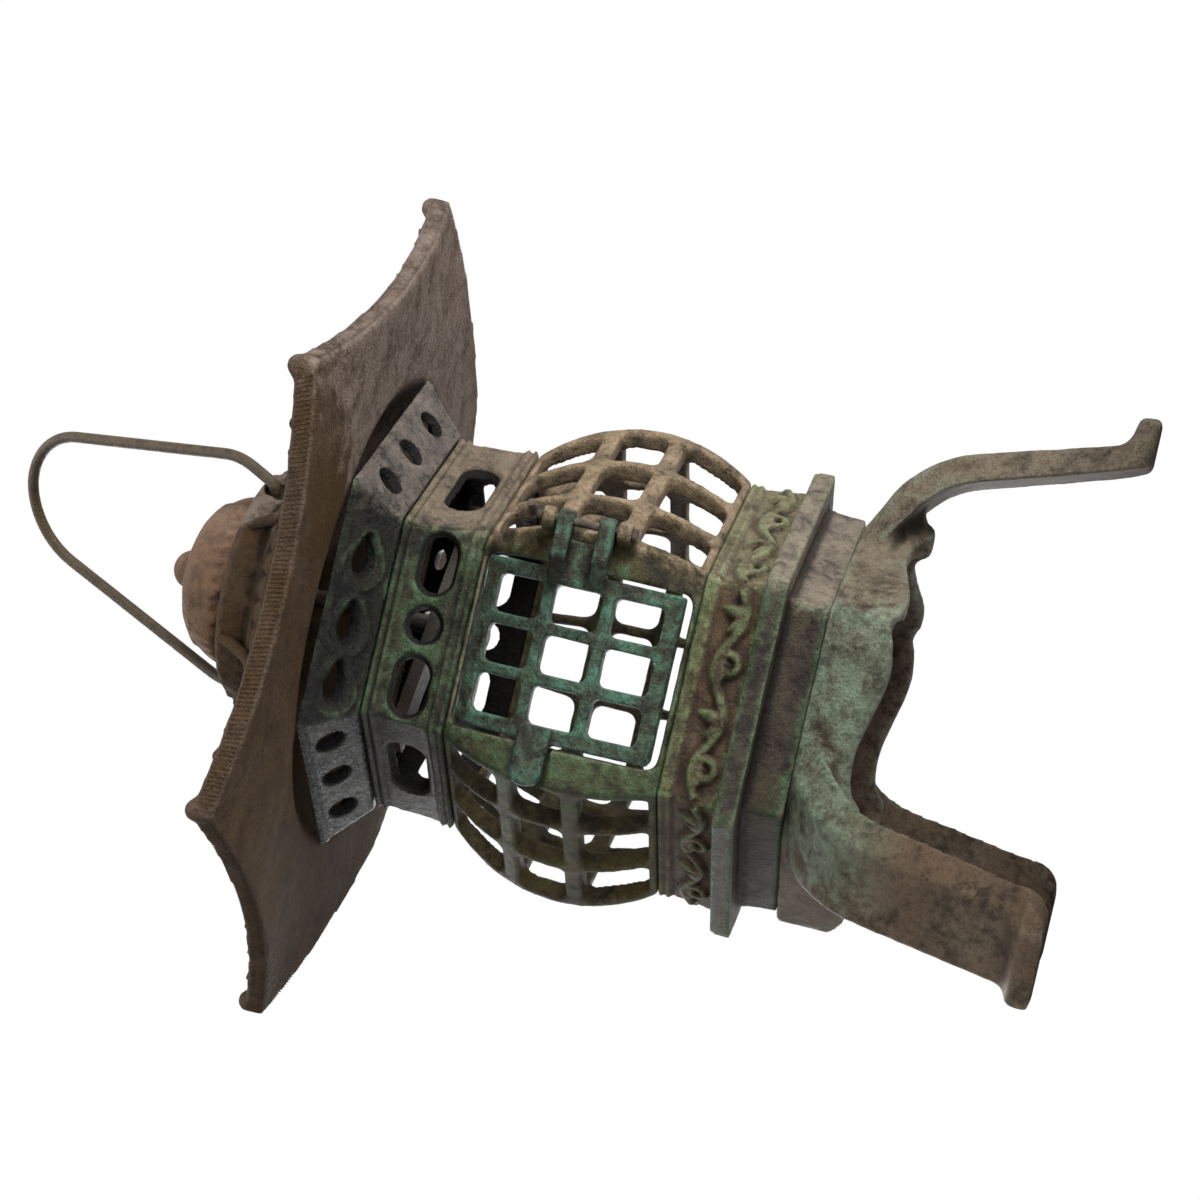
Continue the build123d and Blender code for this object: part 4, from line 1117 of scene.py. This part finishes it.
# ---------------------------------------------------------------- camera, light and floor
EYE = (0.0130, -1.0010, -0.0021)
EYE_RIGHT = (0.22476, 0.15471, -0.96205)
EYE_DOWN = (-0.97439, 0.04271, -0.22077)
LENS = 95.466
SENSOR_W = 36.0
LIT_MIDDLE = (0, 0, 0.16)      # what the soft lights are aimed at
FLOOR_R = 0.46
FLOOR_FADE = (0.22, 0.45)      # radii between which the floor fades out
FLOOR_GAP = 0.5 * MM
PAPER = (0.86, 0.86, 0.86, 1.0)
WHITE = (1.0, 1.0, 1.0, 1.0)


def camera():
    """Three-quarter-low camera that sees the lantern lying on its side."""
    right, down = Vector(EYE_RIGHT), Vector(EYE_DOWN)
    ahead = right.cross(down)
    turn = Matrix((right, -down, -ahead)).transposed()
    data = bpy.data.cameras.new("camera")
    data.lens = LENS
    data.sensor_width = SENSOR_W
    data.clip_start = 0.01
    eye = placed("camera", data)
    eye.matrix_world = Matrix.Translation(EYE) @ turn.to_4x4()
    bpy.context.scene.camera = eye


def softbox(name, spot, size, power):
    """Square soft light aimed at the middle of the lantern."""
    data = bpy.data.lights.new(name, "AREA")
    data.shape = "SQUARE"
    data.size = size
    data.energy = power
    lamp = placed(name, data)
    lamp.location = spot
    aim = Vector(LIT_MIDDLE) - Vector(spot)
    lamp.rotation_euler = aim.to_track_quat("-Z", "Y").to_euler()


def studio():
    """Four soft lights in a white room that the camera sees brighter than it lights."""
    softbox("key", (1.25, -0.80, -0.15), size=0.9, power=54.0)
    softbox("front", (0.35, -1.7, 0.55), size=1.1, power=10.0)
    softbox("back", (-0.5, 1.5, 0.6), size=1.2, power=20.0)
    softbox("top", (-0.3, -0.2, 1.5), size=1.2, power=22.0)
    world = bpy.data.worlds.new("studio")
    world.use_nodes = True
    tree = world.node_tree
    tree.nodes.clear()
    path = plug(tree, "ShaderNodeLightPath")
    seen = maths(tree, "MAXIMUM", out(path, "Is Camera Ray"), out(path, "Is Glossy Ray"))
    seen = maths(tree, "MAXIMUM", seen, out(path, "Is Transmission Ray"))
    strength = plug(tree, "ShaderNodeMapRange", {"Value": seen, "To Min": 0.20, "To Max": 1.0})
    sky = plug(tree, "ShaderNodeBackground", {"Color": WHITE, "Strength": strength})
    end = tree.nodes.new("ShaderNodeOutputWorld")
    tree.links.new(first_out(sky), end.inputs["Surface"])
    bpy.context.scene.world = world
    bpy.context.scene.view_settings.view_transform = "Standard"


def floor_disc():
    """Pale floor under the feet, seen only from above, that fades out before its rim."""
    work = bmesh.new()
    bmesh.ops.create_circle(work, cap_ends=True, segments=96, radius=FLOOR_R)
    ground = drawn("floor", work)
    ground.data.transform(Matrix.Translation((0, 0, cad_box[0].z - FLOOR_GAP)))
    material = bpy.data.materials.new("floor_paper")
    material.use_nodes = True
    tree = material.node_tree
    tree.nodes.clear()
    matte = plug(tree, "ShaderNodeBsdfDiffuse", {"Color": PAPER})
    clear = plug(tree, "ShaderNodeBsdfTransparent")
    side = plug(tree, "ShaderNodeNewGeometry")
    place = out(plug(tree, "ShaderNodeTexCoord"), "Object")
    reach = out(vector_maths(tree, "LENGTH", place), "Value")
    fade = plug(tree, "ShaderNodeMapRange",
                {"Value": reach, "From Min": FLOOR_FADE[0], "From Max": FLOOR_FADE[1]},
                interpolation_type="SMOOTHSTEP")
    gone = maths(tree, "MAXIMUM", out(side, "Backfacing"), fade)
    both = plug(tree, "ShaderNodeMixShader", {0: gone, 1: matte, 2: clear})
    end = tree.nodes.new("ShaderNodeOutputMaterial")
    tree.links.new(first_out(both), end.inputs["Surface"])
    ground.data.materials.append(material)


# ---------------------------------------------------------------- the lantern
def build():
    """The castings and their relief, each on its body, and the finish of what stays plain."""
    camera()
    studio()
    floor_disc()

    tile = tongue("tile", TILE_W, TILE_L, TILE_T)
    petal = tongue("petal", *PETAL, bend=PETAL_BEND)
    crown_scale = tongue("crown_scale", *CROWN_SCALE, bend=CROWN_SCALE_BEND)
    dome = bulb()
    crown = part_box("finial")[0].z
    finial_petals = scale_rings("finial_petals", dome, petal, rows=2, count=36,
                                low=crown + PETAL_LOW, rise=PETAL_RISE, seed=3,
                                material=FINIAL_IRON)
    crown_scales = scale_rings("crown_scales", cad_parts["roof"], crown_scale, rows=3,
                               count=40, low=crown - CROWN_SCALE_DROP,
                               rise=CROWN_SCALE_RISE, seed=5, material=ROOF_IRON)
    for piece in (roof_tiles(tile), hip_rolls(), eave_ticks()):
        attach(piece, "lantern")
    for shape in (tile, petal, crown_scale):
        bpy.data.objects.remove(shape)

    roof = casting("roof_casting", "roof", ROOF_IRON, "lantern", voxel=1.2 * MM, softness=3,
                   dent=0.5 * MM, spread=60.0, seed=1.0, extras=[crown_scales])
    finial = casting("finial_casting", "finial", FINIAL_IRON, "lantern", voxel=0.6 * MM,
                     softness=3, dent=0.5 * MM, spread=160.0, seed=2.0,
                     extras=[finial_petals], form=dome)
    collar = casting("collar_casting", "crown_collar", COLLAR_IRON, "lantern",
                     voxel=0.65 * MM, softness=1, dent=0.5 * MM, spread=90.0, seed=3.0,
                     extras=[drop_rims(), collar_lip()])
    shade_inside(collar, COLLAR_FOOT_R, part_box("crown_collar")[1].x)
    neck = casting("neck_casting", "neck_band", NECK_IRON, "lantern", voxel=0.65 * MM,
                   softness=1, dent=0.5 * MM, spread=90.0, seed=4.0)
    shade_inside(neck, NECK_R, NECK_R)
    fire_box = casting("fire_box_casting", "fire_box", LATTICE_IRON, "lantern",
                       voxel=0.8 * MM, softness=1, dent=0.6 * MM, spread=130.0, seed=5.0,
                       fillet=1.8 * MM)
    door = casting("door_casting", "door", DOOR_IRON, "door", voxel=0.6 * MM, softness=2,
                   dent=0.5 * MM, spread=110.0, seed=6.0)
    band = casting("ornament_casting", "scroll_band", BAND_IRON, "lantern", voxel=0.6 * MM,
                   softness=1, dent=0.3 * MM, spread=120.0, seed=7.0, extras=[ornament()])
    tray = casting("tray_casting", "base_tray", TRAY_IRON, "lantern", voxel=0.9 * MM,
                   softness=1, dent=0.6 * MM, spread=60.0, seed=8.0)
    stand = casting("stand_casting", "leg_stand", STAND_IRON, "lantern", voxel=0.9 * MM,
                    softness=1, dent=0.8 * MM, spread=130.0, seed=9.0, fillet=3.0 * MM)

    coat_node("hanging_bail", WIRE_IRON)
    coat_node("hinge_pin", PIN_STEEL)
    coat_node("candle_cup", CUP_STEEL)
    coat_node("cup_rivet", CUP_STEEL)
    for node in ("finial_stud", "bridge_bar", "stud_washer", "stud_nut", "base_bolts",
                 "base_nuts"):
        coat_node(node, HIDDEN_STEEL)


build()
